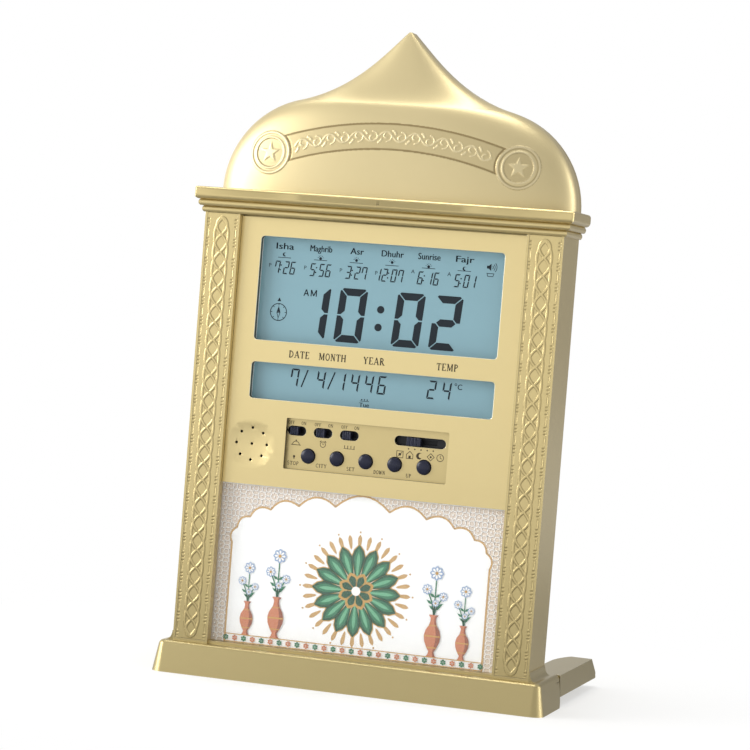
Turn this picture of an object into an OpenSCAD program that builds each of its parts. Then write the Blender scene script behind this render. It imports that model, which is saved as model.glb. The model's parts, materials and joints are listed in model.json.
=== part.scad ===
// Table and wall prayer clock with a domed head, two displays and swing-out legs.
// Front faces -Y, width along X, height along Z. All sizes in millimetres.
// Inside the modules y = 0 is the front face of the pillars; placed() shifts every piece
// so that the origin is the middle of the footprint, on the surface the clock stands on.

/* [Case] */
// Width across the two pillars
case_w = 156; // [150:1:170]
// Height of the case between the base bar and the cornice
case_h = 182.6; // [180:0.2:200]
// Depth of the front case, without the back cover
front_d = 24; // [21:0.5:30]
// Thickness of the back cover
cover_t = 4; // [3.5:0.5:6]
// Wall thickness of the case mouldings
wall = 2.4; // [1.8:0.1:3]
// Width of one pillar
pillar_w = 15.6; // [14:0.2:18]
// Thickness of the case behind the pillar ornament
pillar_t = 4.4; // [4:0.1:5]

/* [Pillar ornament] */
// Border left around the ornament strip
strip_border = 1.1; // [0.8:0.1:2]
// Depth of the pocket that takes the ornament strip
strip_pocket = 2; // [1.6:0.1:2.4]
// Thickness of the strip behind its braid
strip_t = 1.6; // [1:0.1:1.6]
// Height of the braid above the strip's ground
braid_relief = 0.4; // [0.3:0.1:0.6]
// Half width of the braid
braid_amp = 3.5; // [2.5:0.1:4]
// Width of one strand
strand_w = 0.9; // [0.6:0.1:1.4]
// Number of diamonds in the braid
braid_cells = 24; // [16:2:28]

/* [Cornice] */
// Height of the cornice
cornice_h = 10.6; // [9:0.2:13]
// How far the cornice stands out from the case
cornice_out = 4.3; // [3:0.1:6]

/* [Dome] */
// Height of the dome above the cornice
dome_h = 71.5; // [60:0.5:85]
// Radius of the dome's round shoulder
shoulder_r = 41.5; // [36:0.5:44]
// How far the front of the dome bulges at its foot
bulge = 15.5; // [10:0.5:17]
// Wall thickness of the dome
dome_wall = 2.4; // [1.6:0.1:3]

/* [Fascia] */
// How far the fascia lies behind the pillar fronts
fascia_recess = 3; // [2:0.2:3.4]
// Thickness of the fascia
fascia_t = 2.4; // [2:0.1:3]
// Height from the fascia's lower edge to the cornice
fascia_h = 113.6; // [112:0.2:116]
// Width of the fascia beside both display windows
window_border = 9.3; // [8.2:0.1:13]
// Height of the main display window
main_h = 43.8; // [38:0.2:46]
// Height of the fascia above the main display window
window_drop = 8.4; // [7:0.1:10]
// Height of the lower display window
low_h = 15.4; // [12:0.2:17]
// Height of the fascia between the two windows
window_gap = 9.4; // [8.4:0.1:10.4]
// Corner radius of the display windows
window_r = 1.5; // [0.5:0.1:3]

/* [Speaker] */
// Distance of the speaker's middle from the pillar
speaker_edge = 11.8; // [11.5:0.1:12.4]
// Height of the speaker above the fascia's lower edge
speaker_up = 17.2; // [16:0.1:19]
// Radius of the shallow dish in the fascia
dish_r = 10.9; // [9:0.1:11.2]
// Depth of the dish
dish_depth = 1; // [0.6:0.1:1.4]
// Radius of the ring of sound holes
hole_ring_r = 6.8; // [4:0.1:8]
// Number of sound holes in the ring
hole_count = 8; // [4:1:12]
// Diameter of a sound hole
hole_d = 1.2; // [0.8:0.1:2]
// Outer radius of the loudspeaker
driver_r = 13.6; // [12:0.1:13.7]

/* [Controls] */
// Gap between the loudspeaker and the recess
recess_gap = 1.4; // [1.3:0.1:2.4]
// Width of the recess for the controls
recess_w = 71.2; // [70:0.2:72]
// Height of the recess for the controls
recess_h = 21.5; // [20:0.1:22.5]
// Height of the middle of the recess above the fascia's lower edge
recess_up = 18.8; // [17:0.1:19.6]
// Thickness of the control plate
plate_t = 1.6; // [1.2:0.1:2]
// Distance between two push buttons
button_pitch = 12.7; // [11:0.1:13]
// Diameter of a push button
button_d = 5.8; // [5:0.1:6.4]
// How far a push button stands out of the control plate
button_out = 1.8; // [1:0.1:2.4]
// Travel of a push button
button_travel = 0.6; // [0.3:0.1:0.9]
// Distance between two short slide switches
switch_pitch = 11.6; // [11:0.1:12.2]
// Length of a short switch slot
slot_w = 8.2; // [7.6:0.1:9]
// Length of the mode switch slot
mode_slot_w = 22.3; // [21.8:0.1:24]
// Height of every switch slot
slot_h = 4; // [3.4:0.1:4.6]
// Travel of a short slide switch
switch_travel = 2; // [1.5:0.1:3]
// Distance between two positions of the mode switch
mode_pitch = 2.7; // [2.2:0.1:2.8]

/* [Picture] */
// Thickness of the clear sheet over the picture
sheet_t = 1; // [0.6:0.1:1.2]
// Thickness of the picture card
card_t = 0.5; // [0.3:0.1:0.8]
// Thickness of the backing plate
backing_t = 1.5; // [1:0.1:2]

/* [Battery] */
// Diameter of one cell
cell_d = 14.2; // [13.5:0.1:14.5]
// Length of one cell with its terminal
cell_l = 50.2; // [48:0.1:51]
// Height of the middle of the battery bay above the table
bay_z = 46; // [44:0.5:60]
// Room for springs and plates beside the cells
spring_room = 4.8; // [4:0.1:6]
// Wall of the battery bay
bay_wall = 1.2; // [1:0.1:1.6]
// Thickness of the battery door
door_t = 1.7; // [1.5:0.1:1.8]

/* [Base] */
// How far the base bar stands out beside the case
bar_out = 7.8; // [6:0.1:9]
// Height of the base bar
bar_h = 13.4; // [12.8:0.1:15]
// How far the foot of the base bar stands in front of the pillars
bar_front = 5.4; // [5:0.2:8]
// How much the front and ends of the base bar lean inward
bar_draft = 2; // [1:0.1:2.4]
// Edge radius along the top of the base bar
bar_edge_r = 2.2; // [1:0.1:2.6]
// Radius of the round end blocks that carry the legs
block_r = 8; // [7.3:0.1:8.4]
// Width of the cove between the case's sides and the base bar
cove_w = 3; // [1.5:0.1:3.2]
// Height of the cove
cove_h = 4; // [2:0.1:5]
// Distance of a leg's pivot behind the pillar fronts
pivot_y = 28; // [24:0.1:30]
// How far a leg's outer side lies inside its end block
leg_inset = 0.8; // [0.2:0.1:1.5]
// Length of a leg from its pivot to its tip
leg_l = 77.4; // [70:0.1:77.4]
// Height of a leg's underside above the table
leg_z = 4.2; // [3.5:0.1:4.6]
// Height of a leg
leg_h = 8.9; // [7.4:0.1:8.9]
// How much the outer side of a leg leans inward
leg_draft = 1.2; // [0:0.1:2]
// How much the tip of a leg leans forward at the top
leg_rake = 7; // [3:0.5:10]
// Diameter of a leg's pivot pin
pin_d = 4; // [3:0.1:5]

/* [Wall hanging] */
// Distance between the two keyholes
keyhole_pitch = 80; // [60:1:90]
// Height from the keyholes to the cornice
keyhole_drop = 14; // [12:1:26]
// Radius of a keyhole's entry
keyhole_r = 4; // [3:0.1:4.5]
// Width of a keyhole's slot
keyhole_slot = 3.6; // [3:0.1:4]

/* [Fits] */
// Gap between a moving piece and its neighbour
run_gap = 0.3; // [0.2:0.05:0.35]
// Gap around a fixed piece in its pocket
seat_gap = 0.1; // [0.05:0.05:0.2]
// Radial clearance of a pin or screw in its bore
pin_gap = 0.05; // [0.02:0.01:0.09]

/* [Hidden] */
$fn = 48;

gold = "#d9c98c";
black = "#1b1d26";
steel = "#b9bcc2";
board_green = "#2f6b45";

// Levels above the table
case_z = bar_h;
case_top = case_z + case_h;
fascia_z = case_top - fascia_h;
keyhole_z = case_top - keyhole_drop;
dome_z = case_top + cornice_h;
dome_top = dome_z + dome_h;
// Planes behind the pillar fronts
fascia_back = fascia_recess + fascia_t;
plate_back = fascia_back + plate_t;
case_back = front_d + cover_t;
cover_plate_t = 2;
cover_inner = case_back - cover_plate_t;
// Places across the case
half = case_w / 2;
inner_half = half - wall;
opening_half = half - pillar_w;
window_w = 2 * (opening_half - window_border);
flange_half = opening_half + 5.4;
strip_w = pillar_w - 2 * strip_border;
strip_x = half - pillar_w / 2;
strip_foot = 1.2;
floor_t = 1.2;
// Screws: posts stand in the hollow of each pillar
post_x = (flange_half + inner_half) / 2;
post_r = 3.2;
cover_screw_z = [case_z + 22, (case_z + case_top) / 2, case_top - 9];
screw_r = 1.3;
head_r = 2.6;
head_t = 1.6;
base_screw_y = 8;
base_post_h = 11;
base_sink = 3;
// Dome outline: upright foot, round shoulder, hollow sweep and point
shoulder_x = half - shoulder_r;
sweep_angle = 14;
outline_steps = 32;
rim_y = front_d - 3;
// Depth planes of the displays
glass_y = fascia_back + 1.6;
glass_t = 1.1;
light_y = glass_y + 2 * glass_t;
board_y = light_y + 2.8;
board_t = 1.6;
glass_w = window_w + 5.8;
glass_margin = 3.2;
ledge = 3;
holder_half = opening_half - 1.4;
main_high = case_top - window_drop;
main_low = main_high - main_h;
main_z = (main_low + main_high) / 2;
low_high = main_low - window_gap;
low_low = low_high - low_h;
low_z = (low_low + low_high) / 2;
holder_low = low_low - glass_margin - 2.3;
holder_high = main_high + glass_margin + 2.4;
// Speaker and controls
speaker_x = opening_half - speaker_edge;
recess_x = driver_r + recess_gap + recess_w / 2 - speaker_x;
speaker_z = fascia_z + speaker_up;
recess_z = fascia_z + recess_up;
slot_z = recess_z + 5.5;
button_z = recess_z - 4.7;
button_x0 = recess_x - 25.7;
switch_x0 = recess_x - 31.5;
mode_x = recess_x + 22.7;
plate_half = recess_w / 2 + 3.2;
plate_low = recess_z - recess_h / 2 - 3.4;
plate_high = recess_z + recess_h / 2 + 1.2;
knob_w = 4.6;
mode_knob_w = 6;
knob_h = slot_h - 2 * run_gap;
knob_front = plate_back - plate_t - 0.9;
switch_y = plate_back + 1.6;
control_y = switch_y + 4.6;
tact_w = 6;
tact_t = 3.5;
mode_positions = 5;
// Battery bay
bay_half = (cell_l + spring_room) / 2;
bay_half_h = cell_d + 0.8;
bay_front = cover_inner - cell_d - 0.6;
cell_y = bay_front + cell_d / 2 + 0.2;
cell_dz = cell_d / 2 + 0.2;
door_w = 2 * bay_half + 2;
door_h = 2 * bay_half_h + 2.4;
door_axis_z = bay_z + door_h / 2 - door_t / 2;
door_y = case_back - door_t / 2 - 0.1;
hinge_r = 0.6;
// Base
bar_w = case_w + 2 * bar_out;
pivot_x = bar_w / 2 - block_r;
leg_out = block_r - leg_inset;
bar_waist = pivot_y - block_r - 0.6;
tongue_r = block_r - 2.1;
tongue_h = 4;
tongue_z = leg_z + (leg_h - tongue_h) / 2 - 0.4;
foot_back = pivot_y + leg_l;
// The origin is the middle of the footprint
middle_y = (foot_back - bar_front) / 2;

module placed() translate([0, -middle_y, 0]) children();

// A block from its low corner to its high corner
module span(low, high) translate(low) cube([for (i = [0:2]) high[i] - low[i]]);

// A round rod along Y
module rod_y(x, z, y0, y1, r) translate([x, y0, z]) rotate([-90, 0, 0]) cylinder(r = r, h = y1 - y0);

// Its child and the child mirrored across the clock's middle
module both_sides() { children(); mirror([1, 0, 0]) children(); }

// An outline in X and Z, given a thickness along Y
module plate_xz(y0, y1) translate([0, y1, 0]) rotate([90, 0, 0]) linear_extrude(y1 - y0) children();

// An outline in Y and Z, given a width along X
module bar_yz(x0, x1) translate([x0, 0, 0]) rotate([90, 0, 90]) linear_extrude(x1 - x0) children();

function arc(cx, cz, r, a0, a1, steps) =
    [for (i = [0:steps]) let (a = a0 + (a1 - a0) * i / steps) [cx + r * cos(a), cz + r * sin(a)]];

// A rectangle with round corners, from round discs and two bands
module round_rect(w, h, r) {
    square([w - 2 * r, h], center = true);
    square([w, h - 2 * r], center = true);
    for (x = [-1, 1], z = [-1, 1]) translate([x * (w / 2 - r), z * (h / 2 - r)]) circle(r = r);
}

// A slot with round ends along X
module round_slot(w, h) {
    square([w - h, h], center = true);
    for (x = [-1, 1]) translate([x * (w - h) / 2, 0]) circle(d = h);
}

// A round tube along a path of points, closed at both ends. The path never runs along side_axis.
module tube(path, r, sides, side_axis) {
    last = len(path) - 1;
    dirs = [for (i = [0:last]) let (d = path[min(i + 1, last)] - path[max(i - 1, 0)]) d / norm(d)];
    points = [for (i = [0:last])
        let (d = dirs[i], u = cross(side_axis, d) / norm(cross(side_axis, d)), v = cross(d, u))
        for (k = [0:sides - 1]) let (a = 360 * k / sides) path[i] + r * (cos(a) * u + sin(a) * v)];
    faces = concat(
        [for (k = [1:sides - 2]) [0, k, k + 1]],
        [for (i = [0:last - 1], k = [0:sides - 1], half_face = [0, 1]) let (n = (k + 1) % sides)
            half_face == 0 ? [i * sides + k, (i + 1) * sides + k, (i + 1) * sides + n]
                : [i * sides + k, (i + 1) * sides + n, i * sides + n]],
        [for (k = [1:sides - 2]) [last * sides, last * sides + k + 1, last * sides + k]]);
    polyhedron(points = points, faces = faces, convexity = 6);
}

// ---------- dome outline ----------

// Where the hollow sweep begins on the shoulder
sweep_start = [shoulder_x + shoulder_r * sin(sweep_angle), dome_z + shoulder_r * cos(sweep_angle)];
sweep_tip = [0.6, dome_top];
sweep_lead = half * 4 / 13;
tip_lead = 9.5;
sweep_a = [sweep_start[0] - sweep_lead, sweep_start[1] + sweep_lead * tan(sweep_angle)];
sweep_b = [sweep_tip[0] + tip_lead, sweep_tip[1] - tip_lead];

function bezier(p, t) = pow(1 - t, 3) * p[0] + 3 * t * pow(1 - t, 2) * p[1]
    + 3 * t * t * (1 - t) * p[2] + pow(t, 3) * p[3];

// Right half of the dome's outline, from its foot to its point
dome_half = concat(
    [for (i = [0:outline_steps / 2]) let (a = (90 - sweep_angle) * i / (outline_steps / 2))
        [shoulder_x + shoulder_r * cos(a), dome_z + shoulder_r * sin(a)]],
    [for (i = [1:outline_steps / 2])
        bezier([sweep_start, sweep_a, sweep_b, sweep_tip], i / (outline_steps / 2))]);

// Front bulge that goes with a half width of the outline
function bulge_at(w) = bulge * pow(w / half, 0.75);

// One row of points across the dome, at a level with half width w, drawn in by t
fan_steps = 32;
bulge_power = 2.7;
function dome_row(p, t) =
    let (w = max(p[0] - t, 0.3), d = max(bulge_at(p[0]) - t, 0.2), drop = p[0] < 3 * t ? 2 * t : t)
    let (z = t == 0 ? p[1] : max(dome_z, p[1] - drop * (p[1] - dome_z) / dome_h))
    concat([[-w, front_d, z]],
        [for (j = [0:fan_steps]) let (a = 180 * j / fan_steps)
            [-w * pow_cos(a), rim_y - d * pow(sin(a), 2 / bulge_power), z]],
        [[w, front_d, z]]);
function pow_cos(a) = sign(cos(a)) * pow(abs(cos(a)), 2 / bulge_power);

// ---------- case ----------

module front_case() color(gold) placed() {
    difference() {
        union() {
            both_sides() {
                span([opening_half, 0, case_z], [half, pillar_t, case_top]);
                span([inner_half, 0, case_z], [half, front_d, case_top]);
                for (z = cover_screw_z) rod_y(post_x, z, pillar_t - 1, front_d, post_r);
                span([flange_half + 0.6, base_screw_y - 4, case_z],
                    [inner_half + 0.5, base_screw_y + 4, case_z + base_post_h]);
            }
            span([-half, 1.4, case_z], [half, front_d, case_z + floor_t]);
            span([-half, fascia_back + 0.6, case_top - wall], [half, front_d, case_top]);
        }
        both_sides() {
            span([strip_x - strip_w / 2 - seat_gap, -1, case_z + strip_foot],
                [strip_x + strip_w / 2 + seat_gap, strip_pocket, case_top + 1]);
            for (z = cover_screw_z)
                rod_y(post_x, z, front_d - screw_reach - 0.5, front_d + 1, screw_r + pin_gap);
            translate([post_x, base_screw_y, case_z - 1])
                cylinder(r = screw_r + pin_gap, h = base_post_h);
            for (z = fascia_screw_z)
                rod_y(flange_half - 2.4, z, strip_pocket + 0.4, pillar_t + 1, small_r + pin_gap);
            for (z = backing_screw_z)
                rod_y(flange_half - 2.4, z, strip_pocket + 0.4, pillar_t + 1, small_r + pin_gap);
        }
    }
}

// Small screws that hold the fascia and the picture backing to the pillars
small_r = 0.9;
small_head_r = 1.8;
small_head_t = 1.2;
screw_reach = 8.5;
fascia_screw_z = [fascia_z + 6, main_low - 3.4, case_top - 6];
backing_screw_z = [case_z + 8, fascia_z - 8];

// One strand of the braid: a band of constant width along a sine curve
braid_low = case_z + strip_foot + 2;
braid_high = case_top - 3;
cell_h = (braid_high - braid_low) / braid_cells;
steps_per_cell = 4;
module strand(phase) {
    count = braid_cells * steps_per_cell;
    line = [for (i = [0:count]) let (a = 90 * i / steps_per_cell)
        [braid_amp * sin(a + phase) * min(1, i / steps_per_cell, (count - i) / steps_per_cell),
            braid_low + cell_h * i / steps_per_cell]];
    polygon(concat([for (p = line) [p[0] - strand_w / 2, p[1]]],
        [for (i = [count:-1:0]) [line[i][0] + strand_w / 2, line[i][1]]]));
}

module pillar_strip(side) color(gold) placed() translate([side * strip_x, 0, 0]) {
    ground = strip_pocket - strip_t;
    span([-strip_w / 2, ground, case_z + strip_foot + seat_gap],
        [strip_w / 2, strip_pocket, case_top - seat_gap]);
    for (phase = [0, 90, 180, 270]) plate_xz(ground - braid_relief, ground + 0.2) strand(phase);
}
module pillar_strip_left() pillar_strip(-1);
module pillar_strip_right() pillar_strip(1);

// Moulding profile from the case outward: two beads below a rounded nose.
// x is the distance that it stands out, y the height.
nose_h = cornice_h / 2;
nose_low_r = 2;
nose_top_r = 1.4;
bead_half = (cornice_h - nose_h) / 4;
bead_angle = 55;
bead_r = bead_half / sin(bead_angle);
bead_steps = 8;
module cornice_profile(inner) polygon(concat(
    [[inner, 0]],
    arc(cornice_out * 0.3 - bead_r, bead_half, bead_r, -bead_angle, bead_angle, bead_steps),
    arc(cornice_out * 0.62 - bead_r, 3 * bead_half, bead_r, -bead_angle, bead_angle, bead_steps),
    arc(cornice_out - nose_low_r, cornice_h - nose_h + nose_low_r, nose_low_r, -90, 0, bead_steps),
    arc(cornice_out - nose_top_r, cornice_h - nose_top_r, nose_top_r, 0, 90, bead_steps),
    [[inner, cornice_h]]));

// The moulding mitred round the front and both sides, with a round corner on its nose
nose_corner_r = 1.6;
module cornice_body(back) translate([0, 0, case_top]) intersection() {
    reach = half + cornice_out;
    bar_yz(-case_w, case_w) mirror([1, 0]) cornice_profile(-back);
    plate_xz(-case_w, back) both_halves() translate([half, 0]) cornice_profile(-half - 1);
    linear_extrude(cornice_h) hull() {
        both_halves() translate([reach - nose_corner_r, nose_corner_r - cornice_out]) circle(r = nose_corner_r);
        translate([-reach, 0]) square([2 * reach, back]);
    }
}
module both_halves() { children(); mirror([1, 0]) children(); }

module cornice() color(gold) placed() difference() {
    cornice_body(front_d);
    span([-inner_half, wall, case_top - 1], [inner_half, front_d + 1, dome_z - wall]);
}

// Dome: rows of points at rising levels, an outer and an inner skin joined at the rim
module dome_cap() color(gold) placed() {
    rows = concat([for (p = dome_half) dome_row(p, 0)], [for (p = dome_half) dome_row(p, dome_wall)]);
    n = len(dome_half);
    m = len(rows[0]);
    outer = [for (i = [0:n - 2], j = [0:m - 2])
        [i * m + j, i * m + j + 1, (i + 1) * m + j + 1, (i + 1) * m + j]];
    base = n * m;
    inner = [for (i = [0:n - 2], j = [0:m - 2])
        [base + (i + 1) * m + j, base + (i + 1) * m + j + 1, base + i * m + j + 1, base + i * m + j]];
    foot = [for (j = [0:m - 2]) [base + j, base + j + 1, j + 1, j]];
    left = [for (i = [0:n - 2]) [i * m, (i + 1) * m, base + (i + 1) * m, base + i * m]];
    right = [for (i = [0:n - 2]) [base + i * m + m - 1, base + (i + 1) * m + m - 1,
        (i + 1) * m + m - 1, i * m + m - 1]];
    top = (n - 1) * m;
    caps = [[for (j = [0:m - 1]) top + j], [for (j = [m - 1:-1:0]) base + top + j],
        [top, top + m - 1, base + top + m - 1, base + top]];
    polyhedron(points = [for (r = rows, p = r) p],
        faces = [for (f = concat(outer, inner, foot, left, right, caps)) [for (k = [len(f) - 1:-1:0]) f[k]]],
        convexity = 8);
}

// ---------- fascia and displays ----------

module window_holes(grow) {
    translate([0, main_z]) round_rect(window_w + grow, main_h + grow, window_r);
    translate([0, low_z]) round_rect(window_w + grow, low_h + grow, window_r);
}

module fascia() color(gold) placed() {
    ball_r = (dish_r * dish_r + dish_depth * dish_depth) / (2 * dish_depth);
    difference() {
        union() {
            span([-opening_half + seat_gap, fascia_recess, fascia_z],
                [opening_half - seat_gap, fascia_back, case_top - 0.6]);
            span([-flange_half, pillar_t, fascia_z], [flange_half, fascia_back, case_top - 0.6]);
            rod_y(-speaker_x, speaker_z, fascia_back - 0.5, driver_y, dish_r + 0.5);
        }
        plate_xz(fascia_recess - 1, fascia_back + 1) window_holes(0);
        plate_xz(fascia_recess - 1, fascia_back + 1) translate([recess_x, recess_z])
            round_rect(recess_w, recess_h, 0.6);
        rod_y(-speaker_x, speaker_z, fascia_back, driver_y + 1, dish_r - 1);
        translate([-speaker_x, fascia_recess + dish_depth - ball_r, speaker_z]) sphere(r = ball_r, $fn = 96);
        for (i = [0:hole_count - 1]) let (a = 360 * i / hole_count)
            rod_y(-speaker_x + hole_ring_r * cos(a), speaker_z + hole_ring_r * sin(a),
                fascia_recess - 1, fascia_back + 1, hole_d / 2);
        rod_y(-speaker_x, speaker_z, fascia_recess - 1, fascia_back + 1, hole_d / 2);
        both_sides() for (z = fascia_screw_z)
            rod_y(flange_half - 2.4, z, pillar_t - 1, fascia_back + 1, small_r + pin_gap);
    }
}

module display_holder() color("#e8e8e4") placed() difference() {
    span([-holder_half, fascia_back, holder_low], [holder_half, light_y, holder_high]);
    plate_xz(fascia_back - 1, light_y + 1) window_holes(0.6);
    for (d = display_sizes) span([-glass_w / 2 - seat_gap, glass_y, d[0] - seat_gap],
        [glass_w / 2 + seat_gap, light_y + 1, d[1] + seat_gap]);
    board_screw_places() rod_y(0, 0, fascia_back - 1, light_y + 1, small_r + pin_gap);
}

// Lower and upper edge of each display glass
display_sizes = [[low_low - glass_margin, low_high + glass_margin],
    [main_low - glass_margin, main_high + glass_margin]];

// Two panes: the front one is shorter, so that the contact ledge lies free
module display(d) color("#98b8c0") placed() {
    span([-glass_w / 2, glass_y, d[0]], [glass_w / 2, glass_y + glass_t, d[1]]);
    span([-glass_w / 2, glass_y + glass_t, d[0]], [glass_w / 2, light_y, d[1] - ledge * 0.4]);
}
module lower_display() display(display_sizes[0]);
module main_display() display(display_sizes[1]);

module backlight(d) color("#f4f4ee") placed() {
    span([-glass_w / 2 + 1, light_y, d[0] + 0.4], [glass_w / 2 - 1, board_y, d[1] - ledge - 0.6]);
}
module lower_backlight() backlight(display_sizes[0]);
module main_backlight() backlight(display_sizes[1]);

module connector_strips() color("#c9c2d8") placed() for (d = display_sizes)
    span([-glass_w / 2 + 2, light_y, d[1] - ledge - 0.2],
        [glass_w / 2 - 2, board_y, d[1] - ledge * 0.4 - 0.2]);

// The four corner screws of the display holder and main board
module board_screw_places() for (x = [-1, 1], z = [holder_low + 2.6, holder_high - 2.6])
    translate([x * (holder_half - 2), 0, z]) children();

module main_board() color(board_green) placed() difference() {
    span([-holder_half, board_y, holder_low], [holder_half, board_y + board_t, holder_high]);
    board_screw_places() rod_y(0, 0, board_y - 1, board_y + board_t + 1, small_r + pin_gap);
}

chip_y = board_y + board_t;
module main_chip() color(black) placed() span([-9, chip_y, main_z - 22], [9, chip_y + 2.4, main_z - 4]);
module sound_chip() color(black) placed() translate([-holder_half, chip_y, low_z])
    span([17, 0, -4], [28, 2, 4]);
module crystal() color(steel) placed() span([14, chip_y, main_z - 16], [22, chip_y + 2.6, main_z - 12.6]);
capacitor_pitch = 8;
module capacitors() color("#20304a") placed() for (k = [0:2])
    rod_y(holder_half - 15 - k * capacitor_pitch, low_z + 2, chip_y, chip_y + 6, 2.6);

// ---------- controls ----------

button_count = 5;
switch_count = 3;
module button_place(i) translate([button_x0 + i * button_pitch, 0, button_z]) children();
module button_places() for (i = [0:button_count - 1]) button_place(i) children();
module switch_places() for (i = [0:switch_count - 1])
    translate([switch_x0 + i * switch_pitch, 0, slot_z]) children();

module control_plate() color(gold) placed() difference() {
    span([recess_x - plate_half, fascia_back, plate_low], [recess_x + plate_half, plate_back, plate_high]);
    button_places() rod_y(0, 0, fascia_back - 1, plate_back + 1, button_d / 2 + run_gap);
    switch_places() plate_xz(fascia_back - 1, plate_back + 1) round_slot(slot_w, slot_h);
    translate([mode_x, 0, slot_z]) plate_xz(fascia_back - 1, plate_back + 1)
        round_slot(mode_slot_w, slot_h);
}

// A domed cap with a collar behind the plate and a stem that reaches the switch
module button(i) color(black) placed() button_place(i) rotate([-90, 0, 0]) {
    front = fascia_back - button_out;
    crown = 0.9;
    crown_r = (pow(button_d / 2, 2) + crown * crown) / (2 * crown);
    tip = control_y - tact_t - button_travel - 0.1;
    rotate_extrude() polygon(concat(
        [for (k = [0:6]) let (a = asin(button_d / 2 / crown_r) * k / 6)
            [crown_r * sin(a), front + crown_r - crown_r * cos(a)]],
        [[button_d / 2, plate_back + 0.2], [button_d / 2 + 1, plate_back + 0.2],
            [button_d / 2 + 1, plate_back + 0.9], [1.4, plate_back + 0.9], [1.4, tip], [0, tip]]));
}
module stop_button() button(0);
module city_button() button(1);
module set_button() button(2);
module down_button() button(3);
module up_button() button(4);

// A slide knob: finger block with three grooves, and a tongue in the switch body's groove
module knob(x, w) color(black) placed() translate([x, 0, slot_z]) {
    difference() {
        span([-w / 2, knob_front, -knob_h / 2], [w / 2, switch_y - run_gap, knob_h / 2]);
        for (k = [-1:1]) span([k * w / 4 - 0.25, knob_front - 1, -knob_h],
            [k * w / 4 + 0.25, knob_front + 0.4, knob_h]);
    }
    span([-0.9, switch_y - run_gap - 0.1, -tongue_half], [0.9, switch_y + 1.6, tongue_half]);
}
tongue_half = 0.7;
rest_x = -switch_travel / 2;
module sound_switch_knob() knob(switch_x0 + rest_x, knob_w - 1);
module alarm_switch_knob() knob(switch_x0 + switch_pitch + rest_x, knob_w - 1);
module call_switch_knob() knob(switch_x0 + 2 * switch_pitch + rest_x, knob_w - 1);
module mode_switch_knob() knob(mode_x - mode_pitch, mode_knob_w);

// A slide switch body with the groove that its tongue runs in
module switch_body(w, reach) difference() {
    span([-w / 2, switch_y, -2.2], [w / 2, control_y, 2.2]);
    span([-reach / 2 - 0.9 - run_gap, switch_y - 1, -tongue_half - run_gap],
        [reach / 2 + 0.9 + run_gap, switch_y + 1.9, tongue_half + run_gap]);
}
module slide_switch_bodies() color(steel) placed() switch_places() switch_body(slot_w + 0.4, switch_travel);
module mode_switch_body() color(steel) placed() translate([mode_x, 0, slot_z])
    switch_body(mode_slot_w - 0.4, (mode_positions - 1) * mode_pitch);

module tact_switches() color("#33343a") placed() button_places()
    span([-tact_w / 2, control_y - tact_t, -tact_w / 2], [tact_w / 2, control_y, tact_w / 2]);

control_left = -speaker_x + driver_r + 0.2;
module control_board() color(board_green) placed()
    span([control_left, control_y, plate_low],
        [recess_x + plate_half, control_y + board_t, plate_high - 0.4]);

// Flat cable that steps from the main board back to the control board
cable_w = 16;
module ribbon_cable() color("#d6d6d2") placed() {
    low = control_y + board_t;
    high = chip_y;
    bar_yz(cable_w / 2, cable_w * 1.5) polygon([[low, plate_high - 6], [low + 0.5, plate_high - 6],
        [low + 0.5, plate_high + 0.4], [high + 0.5, holder_low + 3], [high + 0.5, holder_low + 8],
        [high, holder_low + 8], [high, holder_low + 2.8], [low, plate_high + 0.2]]);
}

// ---------- loudspeaker ----------

driver_y = plate_back + 0.4;
driver_d = 4.6;
magnet_r = 7;
lead_r = 0.6;
module speaker_basket() color(steel) placed() translate([-speaker_x, 0, speaker_z]) rotate([-90, 0, 0])
    rotate_extrude() polygon([[driver_r - 1.6, driver_y], [driver_r, driver_y], [driver_r, driver_y + 1],
        [magnet_r + 1, driver_y + driver_d], [3, driver_y + driver_d], [3, driver_y + driver_d - 0.8],
        [magnet_r + 0.4, driver_y + driver_d - 0.8], [driver_r - 1.6, driver_y + 1]]);
module speaker_cone() color(black) placed() translate([-speaker_x, 0, speaker_z]) rotate([-90, 0, 0])
    rotate_extrude() polygon([[0, driver_y + 1.8], [3.4, driver_y + 2.6], [4.2, driver_y + 2.8],
        [driver_r - 1.9, driver_y + 0.6], [driver_r - 1.7, driver_y + 0.6], [driver_r - 1.7, driver_y + 0.9],
        [4.2, driver_y + 3.2], [3, driver_y + 3.1], [0, driver_y + 2.3]]);
module speaker_magnet() color("#55565c") placed()
    rod_y(-speaker_x, speaker_z, driver_y + driver_d, driver_y + driver_d + 4.5, magnet_r);

module speaker_leads() color("#8a2f2a") placed() for (dx = [0, 2.4]) translate([dx - speaker_x, 0, 0]) tube([
    [4, driver_y + driver_d + 2, speaker_z + 9], [4, driver_y + driver_d + 4, speaker_z + 11],
    [6, driver_y + driver_d + 5, holder_low + 1], [8, chip_y + 2.2, holder_low + 3],
    [8, chip_y + 1.4, holder_low + 4], [8, chip_y + 0.1, holder_low + 4]], lead_r, 6, [1, 0.3, 0.2]);

// ---------- picture ----------

card_top = fascia_z - seat_gap;
sheet_y = pillar_t;
card_y = sheet_y + sheet_t;
backing_y = card_y + card_t;
module picture_layer(y0, y1, z1) difference() {
    span([-flange_half, y0, case_z + floor_t + seat_gap], [flange_half, y1, z1]);
    both_sides() for (z = backing_screw_z) rod_y(flange_half - 2.4, z, y0 - 1, y1 + 1, small_r + pin_gap);
}
module picture_sheet() color("#eef4f6") placed() picture_layer(sheet_y, card_y, card_top);
module picture_card() color("#f2efe6") placed() picture_layer(card_y, backing_y, card_top);
module picture_backing() color("#8c8c88") placed() picture_layer(backing_y, backing_y + backing_t, card_top);

// ---------- back cover and battery ----------

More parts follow.
